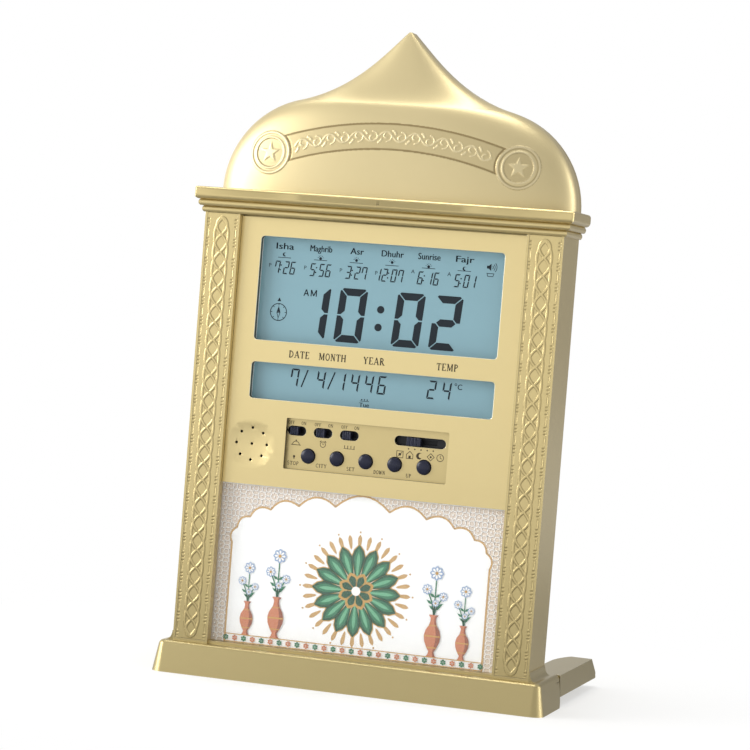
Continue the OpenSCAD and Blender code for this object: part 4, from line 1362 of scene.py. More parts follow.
class Digits:
    """Seven-segment figures with mitred ends."""

    LIT: dict[str, str] = {"0": "abcdef", "1": "bc", "2": "abged", "3": "abgcd", "4": "fgbc", "5": "afgcd",
                           "6": "afgedc", "7": "fabc", "8": "abcdefg", "9": "abcdfg"}

    def __init__(self, width: float, height: float, stroke: float, slant: float, gap: float,
                 chamfer: float = 0.35) -> None:
        """Args:
            width: width of a figure.
            height: height of a figure.
            stroke: width of a segment.
            slant: lean to the right for each millimetre of height.
            gap: gap between two segments.
            chamfer: cut at the outer corners as a share of the stroke.
        """
        self.width, self.height, self.stroke, self.slant = width, height, stroke, slant
        self.gap, self.cut = gap, chamfer * stroke

    def segments(self) -> dict[str, list[Point]]:
        """Outlines of the seven segments, upright, from the figure's low left corner.

        Returns:
            The outline for each letter a to g.
        """
        w, h, t, e, c = self.width, self.height, self.stroke, self.gap / 2 * 1.4, self.cut
        m = h / 2
        top = [(c / 2 + e, h - c / 2), (c + e, h), (w - c - e, h), (w - c / 2 - e, h - c / 2),
               (w - t - e, h - t), (t + e, h - t)]
        left = [(0, h - c - e / 2), (c / 2, h - c / 2 - e), (t, h - t - e), (t, m + t / 2 + e),
                (t / 2, m + e), (0, m + e)]
        middle = [(t / 2 + e, m), (t + e, m + t / 2), (w - t - e, m + t / 2), (w - t / 2 - e, m),
                  (w - t - e, m - t / 2), (t + e, m - t / 2)]

        def turn_over(outline: list[Point], across: bool, over: bool) -> list[Point]:
            """Args:
                outline: an outline.
                across: whether left and right change places.
                over: whether top and bottom change places.

            Returns:
                The mirrored outline.
            """
            return [(w - x if across else x, h - z if over else z) for x, z in outline]

        return {"a": top, "f": left, "g": middle, "b": turn_over(left, True, False),
                "e": turn_over(left, False, True), "c": turn_over(left, True, True),
                "d": turn_over(top, False, True)}

    def set(self, film: FlatWork, figure: str, x: float, z: float) -> None:
        """Adds a figure.

        Args:
            film: the film.
            figure: the figure.
            x: its low left corner.
            z: its low left corner.
        """
        for letter, outline in self.segments().items():
            if letter in self.LIT[figure]:
                film.shape([(x + px + self.slant * pz, z + pz) for px, pz in outline])


@dataclass
class Displays:
    """What the two displays show: times, date, temperature and small marks."""

    letters: Lettering
    columns: tuple[tuple[str, float, str, float], ...] = (
        ("Isha", -43.6, "7:26", -38.2), ("Maghrib", -27.55, "5:56", -22.4), ("Asr", -11.7, "3:27", -6.6),
        ("Dhuhr", 3.9, "12:07", 9.35), ("Sunrise", 19.85, "6:16", 24.9), ("Fajr", 35.3, "5:01", 40.8))
    afternoon: tuple[float, ...] = (-49.7, -34.0, -18.2, -2.6)
    morning: tuple[float, ...] = (13.25, 28.95)
    name_z: float = 182.7
    sky_z: float = 180.2
    small_z: float = 172.2
    large_z: float = 145.5
    date_z: float = 125.0

    def build(self) -> None:
        """Makes the films of both displays."""
        glass = span_of("main_display")[0].y
        film = FlatWork()
        self.clock(film)
        self.times(film)
        self.marks(film)
        self.date(film)
        adopt(film.mesh("display_segments", glass - 0.01), "display_segments", SEGMENT)

    def clock(self, film: FlatWork) -> None:
        """Adds the time in large figures.

        Args:
            film: the film.
        """
        large = Digits(12.1, 22.8, 3.1, 0.078, 0.42)
        for figure, x in (("1", -35.5), ("0", -19.3), ("0", 5.9), ("2", 22.2)):
            large.set(film, figure, x, self.large_z)
        film.disc(0.55, 160.4, 1.6)
        film.disc(0.0, 152.9, 1.6)
        PressLetters(hair=0.17, serif=0.0).set(film, "AM", -34.0, -27.7, 163.7, 2.75)

    def times(self, film: FlatWork) -> None:
        """Adds the six small times with their names.

        Args:
            film: the film.
        """
        small = Digits(2.3, 5.5, 0.55, 0.14, 0.12, 0.2)
        pitch = 2.9
        for name, middle, time, right in self.columns:
            self.letters.set(film, name, middle, self.name_z, 2.6, min(9.6, 1.95 * len(name)), 0.16)
            x = right - small.width - 0.6
            for figure in reversed(time):
                if figure == ":":
                    for level in (1.7, 3.7):
                        film.disc(x + 1.55 + small.slant * level, self.small_z + level, 0.33, 10)
                    x -= 1.1
                else:
                    small.set(film, figure, x, self.small_z)
                    x -= pitch
        for x in self.afternoon:
            self.letters.set(film, "P", x, 174.8, 1.6)
        for x in self.morning:
            self.letters.set(film, "A", x, 176.6, 1.6)
        for index, (_, middle, _, _) in enumerate(self.columns):
            self.sky_mark(film, middle, self.sky_z, index)

    @staticmethod
    def sky_mark(film: FlatWork, x: float, z: float, index: int) -> None:
        """Adds a small sun or moon over a horizon.

        Args:
            film: the film.
            x: its middle.
            z: its middle.
            index: the column, which sets how high the sun or moon stands.
        """
        height = (0.9, 0.0, 0.5, 0.9, 0.0, -0.3)[index]
        film.stroke([(x - 2.9, z - 1.05), (x + 2.9, z - 1.05)], 0.26)
        if index in (0, 5):
            z += height * 0.3
            film.shape(arc(x, z, 0.85, 0.7, 5.2, 14) + arc(x + 0.42, z + 0.12, 0.62, 4.9, 1.1, 12))
        else:
            z += height * 0.7 - 0.35
            film.disc(x, z, 0.62, 16)
            for ray in range(5):
                film.stroke([polar(x, z, radius, math.pi * (ray + 0.5) / 5) for radius in (0.95, 1.4)], 0.22)

    def marks(self, film: FlatWork) -> None:
        """Adds the compass and the loudspeaker mark.

        Args:
            film: the film.
        """
        x, z = -44.4, 156.0
        film.ring(x, z, 3.6, 0.35, 40)
        film.shape([(x - 0.85, 160.6), (x + 0.85, 160.6), (x, 162.2)])
        film.shape([(x, z + 2.6), (x - 0.85, z), (x + 0.85, z)])
        film.stroke([(x - 0.7, z - 0.2), (x, z - 2.5), (x + 0.7, z - 0.2)], 0.28, closed=True)
        for turn in range(0, 360, 45):
            film.stroke([polar(x, z, radius, math.radians(turn)) for radius in (2.8, 3.4)], 0.3)
        x, z = 46.0, 181.5
        film.shape([(x - 1.2, z - 0.6), (x - 0.4, z - 0.6), (x + 0.7, z - 1.5), (x + 0.7, z + 1.5),
                    (x - 0.4, z + 0.6), (x - 1.2, z + 0.6)])
        for radius in (1.0, 1.8, 2.6):
            film.stroke(arc(x + 0.5, z, radius, -0.75, 0.75, 7), 0.26)
        film.stroke([(x - 1.0, 178.9), (x + 2.0, 178.9), (x + 1.6, 177.7), (x - 0.6, 177.7)], 0.26, True)

    def date(self, film: FlatWork) -> None:
        """Adds the date, temperature and weekday.

        Args:
            film: the film.
        """
        figures = Digits(3.6, 7.75, 0.75, 0.1, 0.16, 0.2)
        for figure, right in (("7", -32.8), ("4", -21.1), ("1", -12.2), ("4", -6.05), ("4", 0.1), ("6", 5.8)):
            figures.set(film, figure, right - figures.width - 0.7, self.date_z)
        for low, high in ((-31.7, -29.2), (-19.9, -17.2)):
            film.stroke([(low, 125.2), (high, 132.6)], 0.6)
        for figure, x in (("2", 23.2), ("4", 29.6)):
            figures.set(film, figure, x, self.date_z)
        film.ring(35.6, 131.9, 0.42, 0.24, 16)
        self.letters.set(film, "C", 37.4, 129.9, 2.2, 1.9, 0.1)
        self.letters.set(film, "Tue", -3.4, 119.2, 1.7, 4.3, 0.1)
        for k in range(3):
            film.disc(-4.6 + 1.2 * k, 122.2, 0.3, 10)
        film.stroke([(-5.4, 121.6), (-1.4, 121.6)], 0.22)


# ---------------------------------------------------------------- fascia printing and controls


@dataclass
class Printing:
    """Words and marks printed on the fascia and the control plate."""

    press: PressLetters
    heading_z: float = 137.3
    headings: tuple[tuple[str, float, float], ...] = (
        ("DATE", -36.9, -27.9), ("MONTH", -23.6, -11.7), ("YEAR", -4.05, 5.2), ("TEMP", 27.8, 37.05))
    keys: tuple[tuple[str, float, float, float], ...] = (
        ("STOP", -34.7, -29.6, 92.2), ("CITY", -22.0, -17.2, 92.1), ("SET", -8.4, -4.9, 92.0),
        ("DOWN", 3.5, 8.5, 91.8), ("UP", 17.6, 19.9, 91.6))
    switch_words: tuple[tuple[float, float], ...] = ((-34.2, -28.65), (-22.45, -16.8), (-10.75, -5.25))

    def build(self) -> None:
        """Makes the printed films."""
        face = span_of("fascia")[0].y
        film = FlatWork()
        for word, left, right in self.headings:
            self.press.set(film, word, left, right, self.heading_z, 3.0)
        adopt(film.mesh("fascia_words", face - 0.005), "fascia_words", INK)
        plate = span_of("control_plate")[0].y
        film = FlatWork()
        for word, left, right, z in self.keys:
            self.press.set(film, word, left, right, z, 1.6)
        for off, on in self.switch_words:
            self.press.set(film, "OFF", off - 1.4, off + 1.4, 109.4, 1.35)
            self.press.set(film, "ON", on - 1.1, on + 1.1, 109.4, 1.35)
        self.switch_marks(film)
        self.mode_marks(film)
        adopt(film.mesh("control_words", plate - 0.005), "control_words", INK)

    @staticmethod
    def switch_marks(film: FlatWork) -> None:
        """Adds the marks under the three short switches and the lamp mark.

        Args:
            film: the film.
        """
        x, z = -31.5, 101.6
        film.stroke([(x - 2.2, z - 0.8), (x + 2.2, z - 0.8)], 0.26)
        film.stroke(arc(x, z - 0.8, 1.5, 0, math.pi, 12), 0.26)
        film.disc(x, z + 1.1, 0.3, 10)
        x, z = -19.6, 101.9
        film.ring(x, z, 1.15, 0.26, 24)
        film.stroke([(x, z + 0.75), (x, z), (x + 0.55, z)], 0.2)
        for side in (-1, 1):
            film.stroke([(x + side * 0.7, z + 1.55), (x + side * 1.4, z + 1.0)], 0.34)
        x, z = -7.9, 101.9
        for k in range(4):
            place = x - 2.1 + 1.4 * k
            film.stroke([(place, z - 0.5 - 0.15 * (k % 2)), (place, z + 0.6)], 0.3)
        film.stroke([(x - 2.4, z - 0.75), (x + 2.4, z - 0.75)], 0.22)
        film.disc(-31.9, 95.9, 0.5, 14)
        film.stroke([(-31.9, 94.9), (-31.9, 95.4)], 0.5)

    @staticmethod
    def mode_marks(film: FlatWork) -> None:
        """Adds the five dots and five marks under the long switch.

        Args:
            film: the film.
        """
        for x in (17.9, 20.6, 23.3, 26.0, 28.6):
            film.disc(x, 103.6, 0.32, 12)
        level = 101.0
        film.stroke(oblong(12.9, level - 1.4, 15.7, level + 1.4), 0.24, True)
        film.disc(14.3, level, 0.6, 12)
        film.stroke([(13.2, level - 1.1), (13.9, level - 0.4)], 0.22)
        film.stroke([(15.4, level + 1.1), (14.7, level + 0.4)], 0.22)
        film.stroke([(17.2, level - 1.4), (20.0, level - 1.4), (20.0, level + 0.3), (18.6, level + 1.6),
                     (17.2, level + 0.3)], 0.26, True)
        film.shape(oblong(18.1, level - 1.4, 19.1, level - 0.2))
        film.shape(arc(22.8, level, 1.4, 0.9, 5.4, 16) + arc(23.5, level + 0.15, 1.0, 4.9, 1.4, 12))
        film.stroke([(27.7, level - 1.5), (29.2, level), (27.7, level + 1.5), (26.2, level)], 0.26, True)
        film.disc(27.7, level, 0.45, 10)
        film.ring(31.8, level, 1.45, 0.26, 24)
        film.stroke([(31.8, level + 1.0), (31.8, level), (32.5, level - 0.4)], 0.24)


@dataclass
class Keys:
    """Five domed push buttons with soft shoulders."""

    radius: float = 2.9
    crown: float = 0.589
    dome_turn: float = 1.2
    shoulder: float = 0.22
    shoulder_depth: float = 0.28
    collar: float = 3.9
    plunger: float = 1.4

    def build(self) -> None:
        """Makes each button in place of its node."""
        for node in ("stop_button", "city_button", "set_button", "down_button", "up_button"):
            low, high = span_of(node)
            middle = (low + high) / 2
            back = span_of("control_plate")[1].y
            reach = self.radius - self.shoulder
            last = self.dome_turn
            dome = [(reach * math.sin(a) / math.sin(last),
                     low.y + self.crown * (1 - math.cos(a)) / (1 - math.cos(last)))
                    for a in np.linspace(0, last, 10)]
            edge = [(reach + self.shoulder * math.sin(a),
                     dome[-1][1] + self.shoulder_depth * (1 - math.cos(a)))
                    for a in np.linspace(0.3, math.pi / 2, 6)]
            stem = [(self.radius, back + 0.2), (self.collar, back + 0.2), (self.collar, back + 0.9),
                    (self.plunger, back + 0.9), (self.plunger, high.y), (0.0, high.y)]
            turn = Matrix.Translation(at(middle.x, 0, middle.z)) @ Matrix.Rotation(-math.pi / 2, 4, "X")
            mesh = turned(node + "_cap", dome + edge + stem, turn, 72)
            smooth(mesh, 40.0)
            adopt(mesh, node + "_cap", KEY, node + "_body", [node])


# ---------------------------------------------------------------- picture


@dataclass
class PicturePanel:
    """The printed picture behind its clear sheet: star lattice, lobed arch, rosette, vases and blossoms."""

    foot: float = 14.7
    top: float = 81.8
    half: float = 62.9
    lattice: float = 5.6
    field_half: float = 56.6
    spring: float = 57.0
    rise: float = 19.5
    lobes: int = 11
    sag: float = 0.24
    border_half: float = 56.2
    step: float = 0.028

    def build(self) -> None:
        """Makes the card and its printed layers."""
        low, high = span_of("picture_card")
        self.layer = low.y + 0.2
        self.card(low, high)
        self.ground()
        self.star_lattice()
        self.white_field()
        self.rosette(0.0, 42.0, 19.5)
        self.vases()

    def next(self) -> float:
        """The depth of the next printed layer, in front of the last one."""
        self.layer -= self.step
        return self.layer

    def put(self, film: FlatWork, label: str, finish: Finish) -> None:
        """Prints a film in front of the last one.

        Args:
            film: the film.
            label: the name of its piece.
            finish: its ink.
        """
        adopt(film.mesh(label, self.next()), label, finish)

    def card(self, low: Vector, high: Vector) -> None:
        """Makes the card.

        Args:
            low: the node's low corner.
            high: the node's high corner.
        """
        film = FlatWork()
        film.shape(oblong(low.x, low.z, high.x, high.z))
        mesh = film.mesh("picture_card_print", high.y - 0.02, high.y - 0.02 - self.layer)
        adopt(mesh, "picture_card_print", CARD, BODY, ["picture_card"])

    def ground(self) -> None:
        """Prints the lattice's ground."""
        film = FlatWork()
        film.shape(oblong(-self.half, self.foot, self.half, self.top))
        self.put(film, "lattice_ground", LATTICE_GROUND)

    def star_lattice(self) -> None:
        """Prints eight-pointed stars linked by crosses, with shaded rims."""
        shade, light = FlatWork(), FlatWork()
        pitch = self.lattice
        for row in range(-1, 14):
            for column in range(-12, 13):
                x, z = column * pitch, 16.4 + row * pitch
                if abs(x) < 52.5 and z < 60 - 0.0035 * x * x:
                    continue
                self.star(shade, x + 0.14, z - 0.14, 0.95)
                self.star(light, x, z, 0.72)
        for film in (shade, light):
            film.outlines = [outline for outline in film.outlines
                             if all(abs(x) < self.half and self.foot - 0.1 < z < self.top + 0.1
                                    for x, z in outline)]
        self.put(shade, "lattice_shade", LATTICE_SHADE)
        self.put(light, "lattice_lines", LATTICE_WHITE)

    def star(self, film: FlatWork, x: float, z: float, width: float) -> None:
        """Adds one star of the lattice with its links.

        Args:
            film: the film.
            x: its middle.
            z: its middle.
            width: width of its bands.
        """
        half = self.lattice / 2
        film.stroke([polar(x, z, 1.55 if k % 2 else 2.05, math.pi * k / 8) for k in range(16)],
                    width * 0.62, closed=True)
        for turn in range(4):
            for shift, radius, share in ((0.0, half, 0.7), (0.5, 2.75, 0.6)):
                way = (turn + shift) * math.pi / 2
                film.stroke([polar(x, z, 2.0, way), polar(x, z, radius, way)], width * share)
        film.ring(x + half, z + half, 1.2, width * 0.55, 8)
        film.disc(x, z, 0.55 * width, 10)

    def arch(self) -> list[Point]:
        """Outline of the field: straight sides and a head of eleven round lobes.

        Returns:
            Its corners from the low left round to the low right.
        """
        spring, rise, half = self.spring, self.rise, self.field_half
        turns = [math.pi - math.pi * k / self.lobes for k in range(self.lobes + 1)]
        knots = [(half * math.copysign(abs(math.cos(t)) ** 0.8, math.cos(t)),
                  spring + rise * max(0.0, math.sin(t)) ** 0.85) for t in turns]
        line: list[Point] = [(-half, self.foot)]
        for (ax, az), (bx, bz) in zip(knots, knots[1:]):
            dx, dz = bx - ax, bz - az
            for s in np.linspace(0, 1, 9):
                lobe = self.sag * 4 * s * (1 - s)
                line.append((ax + dx * s - dz * lobe, az + dz * s + dx * lobe))
        line.append((half, self.foot))
        return line

    def white_field(self) -> None:
        """Prints the white field and its gold outline."""
        film, line = FlatWork(), FlatWork()
        arch = self.arch()
        film.shape(arch)
        self.put(film, "white_field", FIELD_WHITE)
        line.stroke([(x, max(z, self.foot)) for x, z in arch], 0.8)
        self.put(line, "field_outline", GOLD_INK)

    def petals(self, film: FlatWork, x: float, z: float, inner: float, outer: float, count: int,
               share: float = 0.9, phase: float = 0.0) -> None:
        """Adds a ring of pointed petals.

        Args:
            film: the film.
            x: middle of the ring.
            z: middle of the ring.
            inner: radius of the petals' feet.
            outer: radius of their tips.
            count: number of petals.
            share: share of the ring that a petal fills.
            phase: turn of the ring in steps.
        """
        for k in range(count):
            turn = math.tau * (k + phase) / count + math.pi / 2
            spread = math.pi / count * share
            ring = [(inner, 0.0)]
            for s in np.linspace(0.1, 1.0, 8):
                belly = math.sin(math.pi * min(1.0, s * 0.62 + 0.10)) ** 0.8
                point = 1 - max(0.0, (s - 0.75) / 0.25) ** 1.6
                ring.append((inner + (outer - inner) * s, spread * belly * point))
            upper = [polar(x, z, r, turn + a) for r, a in ring]
            lower = [polar(x, z, r, turn - a) for r, a in ring[1:-1]]
            film.shape(upper + lower[::-1])

    def rosette(self, x: float, z: float, radius: float) -> None:
        """Prints the green rosette in layers.

        Args:
            x: its middle.
            z: its middle.
            radius: its radius.
        """
        rays, eye = FlatWork(), FlatWork()
        self.petals(rays, x, z, radius * 0.9, radius * 1.22, 32, 0.42)
        for k in range(16):
            rays.disc(*polar(x, z, radius * 1.27, math.tau * k / 16 + math.pi / 2), 0.42, 10)
        self.put(rays, "rosette_rays", GOLD_INK)
        for label, finish, inner, outer, count, share, phase in (
                ("rosette_gold", GOLD_INK, 1.0, 1.03, 16, 1.06, 0.0),
                ("rosette_dark", GREEN_DEEP, 1.0, 1.0, 16, 0.98, 0.0),
                ("rosette_mid", GREEN_MID, 2.0, 0.93, 16, 0.66, 0.0),
                ("rosette_light", GREEN_LIGHT, 3.0, 0.84, 16, 0.3, 0.0),
                ("rosette_heart", GOLD_INK, 0.2, 0.42, 8, 1.0, 0.5),
                ("rosette_inner", GREEN_DEEP, 0.3, 0.35, 8, 0.8, 0.5)):
            film = FlatWork()
            self.petals(film, x, z, inner, radius * outer, count, share, phase)
            if label == "rosette_heart":
                film.disc(x, z, radius * 0.2)
            self.put(film, label, finish)
        eye.disc(x, z, radius * 0.1)
        self.put(eye, "rosette_eye", LATTICE_WHITE)

    def vases(self) -> None:
        """Prints two pairs of slender vases with blossoms and the low border."""
        clay, clay_shade, gold, blue, white, leaf = (FlatWork() for _ in range(6))
        for side in (-1, 1):
            for distance, foot, size in ((34.5, 18.2, 1.0), (47.5, 18.2, 0.82)):
                x = side * distance
                self.vase(clay, clay_shade, gold, x, foot, size)
                top = foot + 17.5 * size
                for aside, rise, r in ((0.0, 17.5, 3.1), (-3.6, 10.5, 2.3), (3.5, 8.0, 2.0), (0.4, 5.0, 1.6)):
                    dx, dz = aside * size, rise * size
                    bx, bz = x + dx, top + dz
                    leaf.stroke([(x, top - 0.5), (x + dx * 0.35, top + dz * 0.5), (bx, bz)], 0.5 * size)
                    self.petals(blue, bx, bz, 0.1, r * size, 8, 1.05)
                    self.petals(white, bx, bz, 0.3, r * size * 0.78, 8, 0.62)
                    gold.disc(bx, bz, r * size * 0.22, 12)
                    for lean in (-1, 1):
                        self.sprig(leaf, x + dx * 0.3, top + dz * 0.42, lean, size)
        for k in range(-14, 15):
            self.petals(clay if k % 2 else leaf, k * 4.0, self.foot + 1.9, 0.1, 1.25, 6, 0.9)
        for rise in (3.5, 0.3):
            level = self.foot + rise
            gold.stroke([(-self.border_half, level), (self.border_half, level)], 0.35)
        for film, label, finish in ((leaf, "stems", GREEN_MID), (blue, "blossoms", BLUE_INK),
                                    (white, "blossom_lights", LATTICE_WHITE), (clay, "vases", CLAY_INK),
                                    (clay_shade, "vase_shades", CLAY_DEEP), (gold, "vase_gold", GOLD_INK)):
            self.put(film, label, finish)

    @staticmethod
    def sprig(film: FlatWork, x: float, z: float, lean: int, size: float) -> None:
        """Adds one leaf.

        Args:
            film: the film.
            x: its foot.
            z: its foot.
            lean: -1 to the left, 1 to the right.
            size: its scale.
        """
        film.shape([(x + lean * size * dx, z + size * dz)
                    for dx, dz in ((0.0, 0.0), (1.5, 0.3), (2.6, 1.8), (0.9, 1.3))])

    @staticmethod
    def vase(clay: FlatWork, shade: FlatWork, gold: FlatWork, x: float, z: float, size: float) -> None:
        """Adds one slender vase.

        Args:
            clay: the film of its body.
            shade: the film of its shaded side.
            gold: the film of its bands.
            x: its middle.
            z: its foot.
            size: its scale.
        """
        half = [(2.2, 0.0), (1.5, 1.0), (1.1, 2.2), (2.2, 4.0), (3.3, 6.5), (3.6, 8.8), (3.0, 11.2),
                (1.7, 13.2), (1.15, 15.0), (1.2, 16.4), (2.1, 17.6)]
        right, left, middle = ([(x + share * r * size, z + h * size) for r, h in half]
                               for share in (1, -1, 0.45))
        clay.shape(right + left[::-1])
        shade.shape(right + middle[::-1])
        for low, high, radius in ((3.7, 4.2, 2.1), (8.4, 9.0, 3.55), (13.0, 13.4, 1.7)):
            gold.shape(oblong(x - radius * size, z + low * size, x + radius * size, z + high * size))


# ---------------------------------------------------------------- screws


@dataclass
class ScrewHeads:
    """The screws that show on the back and underside, with cross recesses."""

    head: float = 2.6
    shank: float = 1.28
    recess_depth: float = 1.0
    cross_arm: float = 1.45
    cross_half: float = 0.32

    def build(self) -> None:
        """Makes both sets in place of their nodes."""
        low, high = span_of("cover_screws")
        rows = (35.4, 104.7, 187.0)
        side = (abs(low.x) + abs(high.x)) / 2 - self.head
        turns = [Matrix.Translation(at(x, high.y, z)) @ Matrix.Rotation(math.pi / 2, 4, "X")
                 for x in (-side, side) for z in rows]
        self.batch("cover_screws", turns, high.y - low.y)
        low, high = span_of("base_screws")
        side = high.x - self.head
        middle = (low.y + high.y) / 2
        turns = [Matrix.Translation(at(x, middle, low.z)) for x in (-side, side)]
        self.batch("base_screws", turns, high.z - low.z)

    def batch(self, node: str, turns: Sequence[Matrix], length: float) -> None:
        """Makes one set of screws.

        Args:
            node: the CAD node that the set replaces.
            turns: places each screw, its head at the origin and its shank along Z.
            length: its length over all in millimetres.
        """
        r, s = self.head, self.shank
        profile = [(0, 0), (r - 0.6, 0), (r - 0.25, 0.1), (r - 0.06, 0.32), (r, 0.6), (r, 1.5),
                   (r - 0.1, 1.6), (s, 1.6), (s, length - 1.4), (0, length)]
        work = bmesh.new()
        for turn in turns:
            one = turned(node, profile, turn, 40)
            work.from_mesh(one)
            bpy.data.meshes.remove(one)
        holder = link("uncut", closed_off(work, node + "_bodies"))
        cut = holder.modifiers.new("cut", "BOOLEAN")
        cut.operation = "DIFFERENCE"
        cut.solver = "EXACT"
        cut.object = cutter = self.crosses(turns)
        mesh = baked(holder)
        mesh.name = node + "_dressed"
        bpy.data.objects.remove(cutter)
        smooth(mesh, 35.0)
        adopt(mesh, node + "_dressed", STEEL, BODY, [node])

    def crosses(self, turns: Sequence[Matrix]) -> bpy.types.Object:
        """Makes the cross-shaped cutters.

        Args:
            turns: places each cutter.

        Returns:
            One object of all the cutters.
        """
        work = bmesh.new()
        arm, half = self.cross_arm, self.cross_half
        outline = [(arm, -half), (arm, half), (half, half), (half, arm), (-half, arm), (-half, half),
                   (-arm, half), (-arm, -half), (-half, -half), (-half, -arm), (half, -arm), (half, -half)]
        for turn in turns:
            rings = [[work.verts.new(turn @ Vector((x * scale * MM, y * scale * MM, h * MM)))
                      for x, y in outline]
                     for h, scale in ((-0.3, 1.05), (self.recess_depth, 0.6))]
            for k in range(len(outline)):
                n = (k + 1) % len(outline)
                work.faces.new((rings[0][k], rings[0][n], rings[1][n], rings[1][k]))
            work.faces.new(rings[0][::-1])
            work.faces.new(rings[1])
        bmesh.ops.recalc_face_normals(work, faces=work.faces)
        return link("crosses", closed_off(work, "crosses"))


# ---------------------------------------------------------------- mouldings


@dataclass
class Mouldings:
    """The gold mouldings of the CAD model with their edges rounded as a tool would leave them."""

    radii: dict[str, float] = field(default_factory=lambda: {
        "front_case": 0.35, "fascia": 0.35, "control_plate": 0.12, "cornice": 0.35, "base_bar": 0.45,
        "left_leg": 0.5, "right_leg": 0.5, "back_cover": 0.35, "battery_door": 0.2,
        "sound_switch_knob": 0.2, "alarm_switch_knob": 0.2, "call_switch_knob": 0.2,
        "mode_switch_knob": 0.25})
    finishes: dict[str, Finish] = field(default_factory=lambda: {
        "fascia": FASCIA_GOLD_PAINTED_LIGHT, "base_bar": BASE_GOLD_PAINTED_SHADE, "left_leg": BASE_GOLD_PAINTED_SHADE, "right_leg": BASE_GOLD_PAINTED_SHADE})
    fold: float = 36.0
    flat: float = 0.6
    window_rim: float = 0.75
    joint: float = 0.6
    wall_half: float = 65.0
    steep: float = 0.3
    window_low: float = 116.0
    window_half: float = 56.0
    merge: float = 0.000002

    def build(self) -> None:
        """Makes each softened piece in place of its node."""
        for node, radius in self.radii.items():
            finish = self.finishes.get(node, KEY if node.endswith("_knob") else GOLD)
            body = next(b for b, nodes in frame["record"]["behaviour"]["bodies"].items() if node in nodes)
            piece = adopt(self.soften(node, radius), node + "_moulding", finish, body, [node])
            even = piece.modifiers.new("even_shading", "WEIGHTED_NORMAL")
            even.weight = 100
            even.keep_sharp = True

    def on_window(self, edge: bmesh.types.BMEdge, front: float) -> bool:
        """Args:
            edge: an edge of the fascia.
            front: how far back the fascia's front face lies, in metres.

        Returns:
            Whether it is a front edge of a display window.
        """
        return all(v.co.y < front + 0.05 * MM and v.co.z > self.window_low * MM
                   and abs(v.co.x) < self.window_half * MM for v in edge.verts)

    def shade_walls(self, work: bmesh.types.BMesh) -> None:
        """Marks the inner walls of the fascia's windows, the control plate's well and the sound holes for
        painted shade.

        Args:
            work: the fascia.
        """
        work.normal_update()
        walls = work.faces.layers.float.new("recess")
        low, high = span_of("fascia")
        for face in work.faces:
            middle = face.calc_center_median() / MM
            inner = abs(middle.x) < self.wall_half and low.z + 1 < middle.z < high.z - 1
            # Every steep inner wall gets painted shade, whichever way it faces.
            if inner and abs(face.normal.y) < self.steep:
                face[walls] = 1.0

    def soften(self, node: str, radius: float) -> bpy.types.Mesh:
        """Copies a node's mesh, rounds its edges and marks the rounded faces for a painted highlight.

        Args:
            node: the CAD node.
            radius: the edge radius in millimetres.

        Returns:
            The new mesh.
        """
        work = bmesh.new()
        work.from_mesh(frame["nodes"][node].data)
        bmesh.ops.remove_doubles(work, verts=work.verts, dist=self.merge)
        bmesh.ops.dissolve_limit(work, angle_limit=math.radians(self.flat), verts=work.verts,
                                 edges=work.edges)
        sharp = [e for e in work.edges if len(e.link_faces) == 2
                 and e.calc_face_angle(0.0) > math.radians(self.fold)]
        # The faces of the rounded edges are marked for a painted highlight.
        rounded = work.faces.layers.float.new("edge")
        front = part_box("fascia")[0].y
        joint = {e for e in sharp
                 if node == "cornice" and all(abs(v.co.x) < self.joint * MM for v in e.verts)}
        rims = {e for e in sharp if node == "fascia" and self.on_window(e, front)}
        for chosen, size in ((rims, self.window_rim), (set(sharp) - rims - joint, radius)):
            edges = sorted((e for e in chosen if e.is_valid), key=lambda e: e.index)
            if edges:
                made = bmesh.ops.bevel(work, geom=edges, offset=size * MM, offset_type="OFFSET", segments=2,
                                       profile=0.5, affect="EDGES", clamp_overlap=True, harden_normals=False)
                for face in made["faces"]:
                    face[rounded] = 1.0
        # The fascia's inner walls are marked for painted shade.
        if node == "fascia":
            self.shade_walls(work)
        mesh = closed_off(work, node + "_moulding")
        smooth(mesh, 40.0)
        return mesh


# ---------------------------------------------------------------- stage


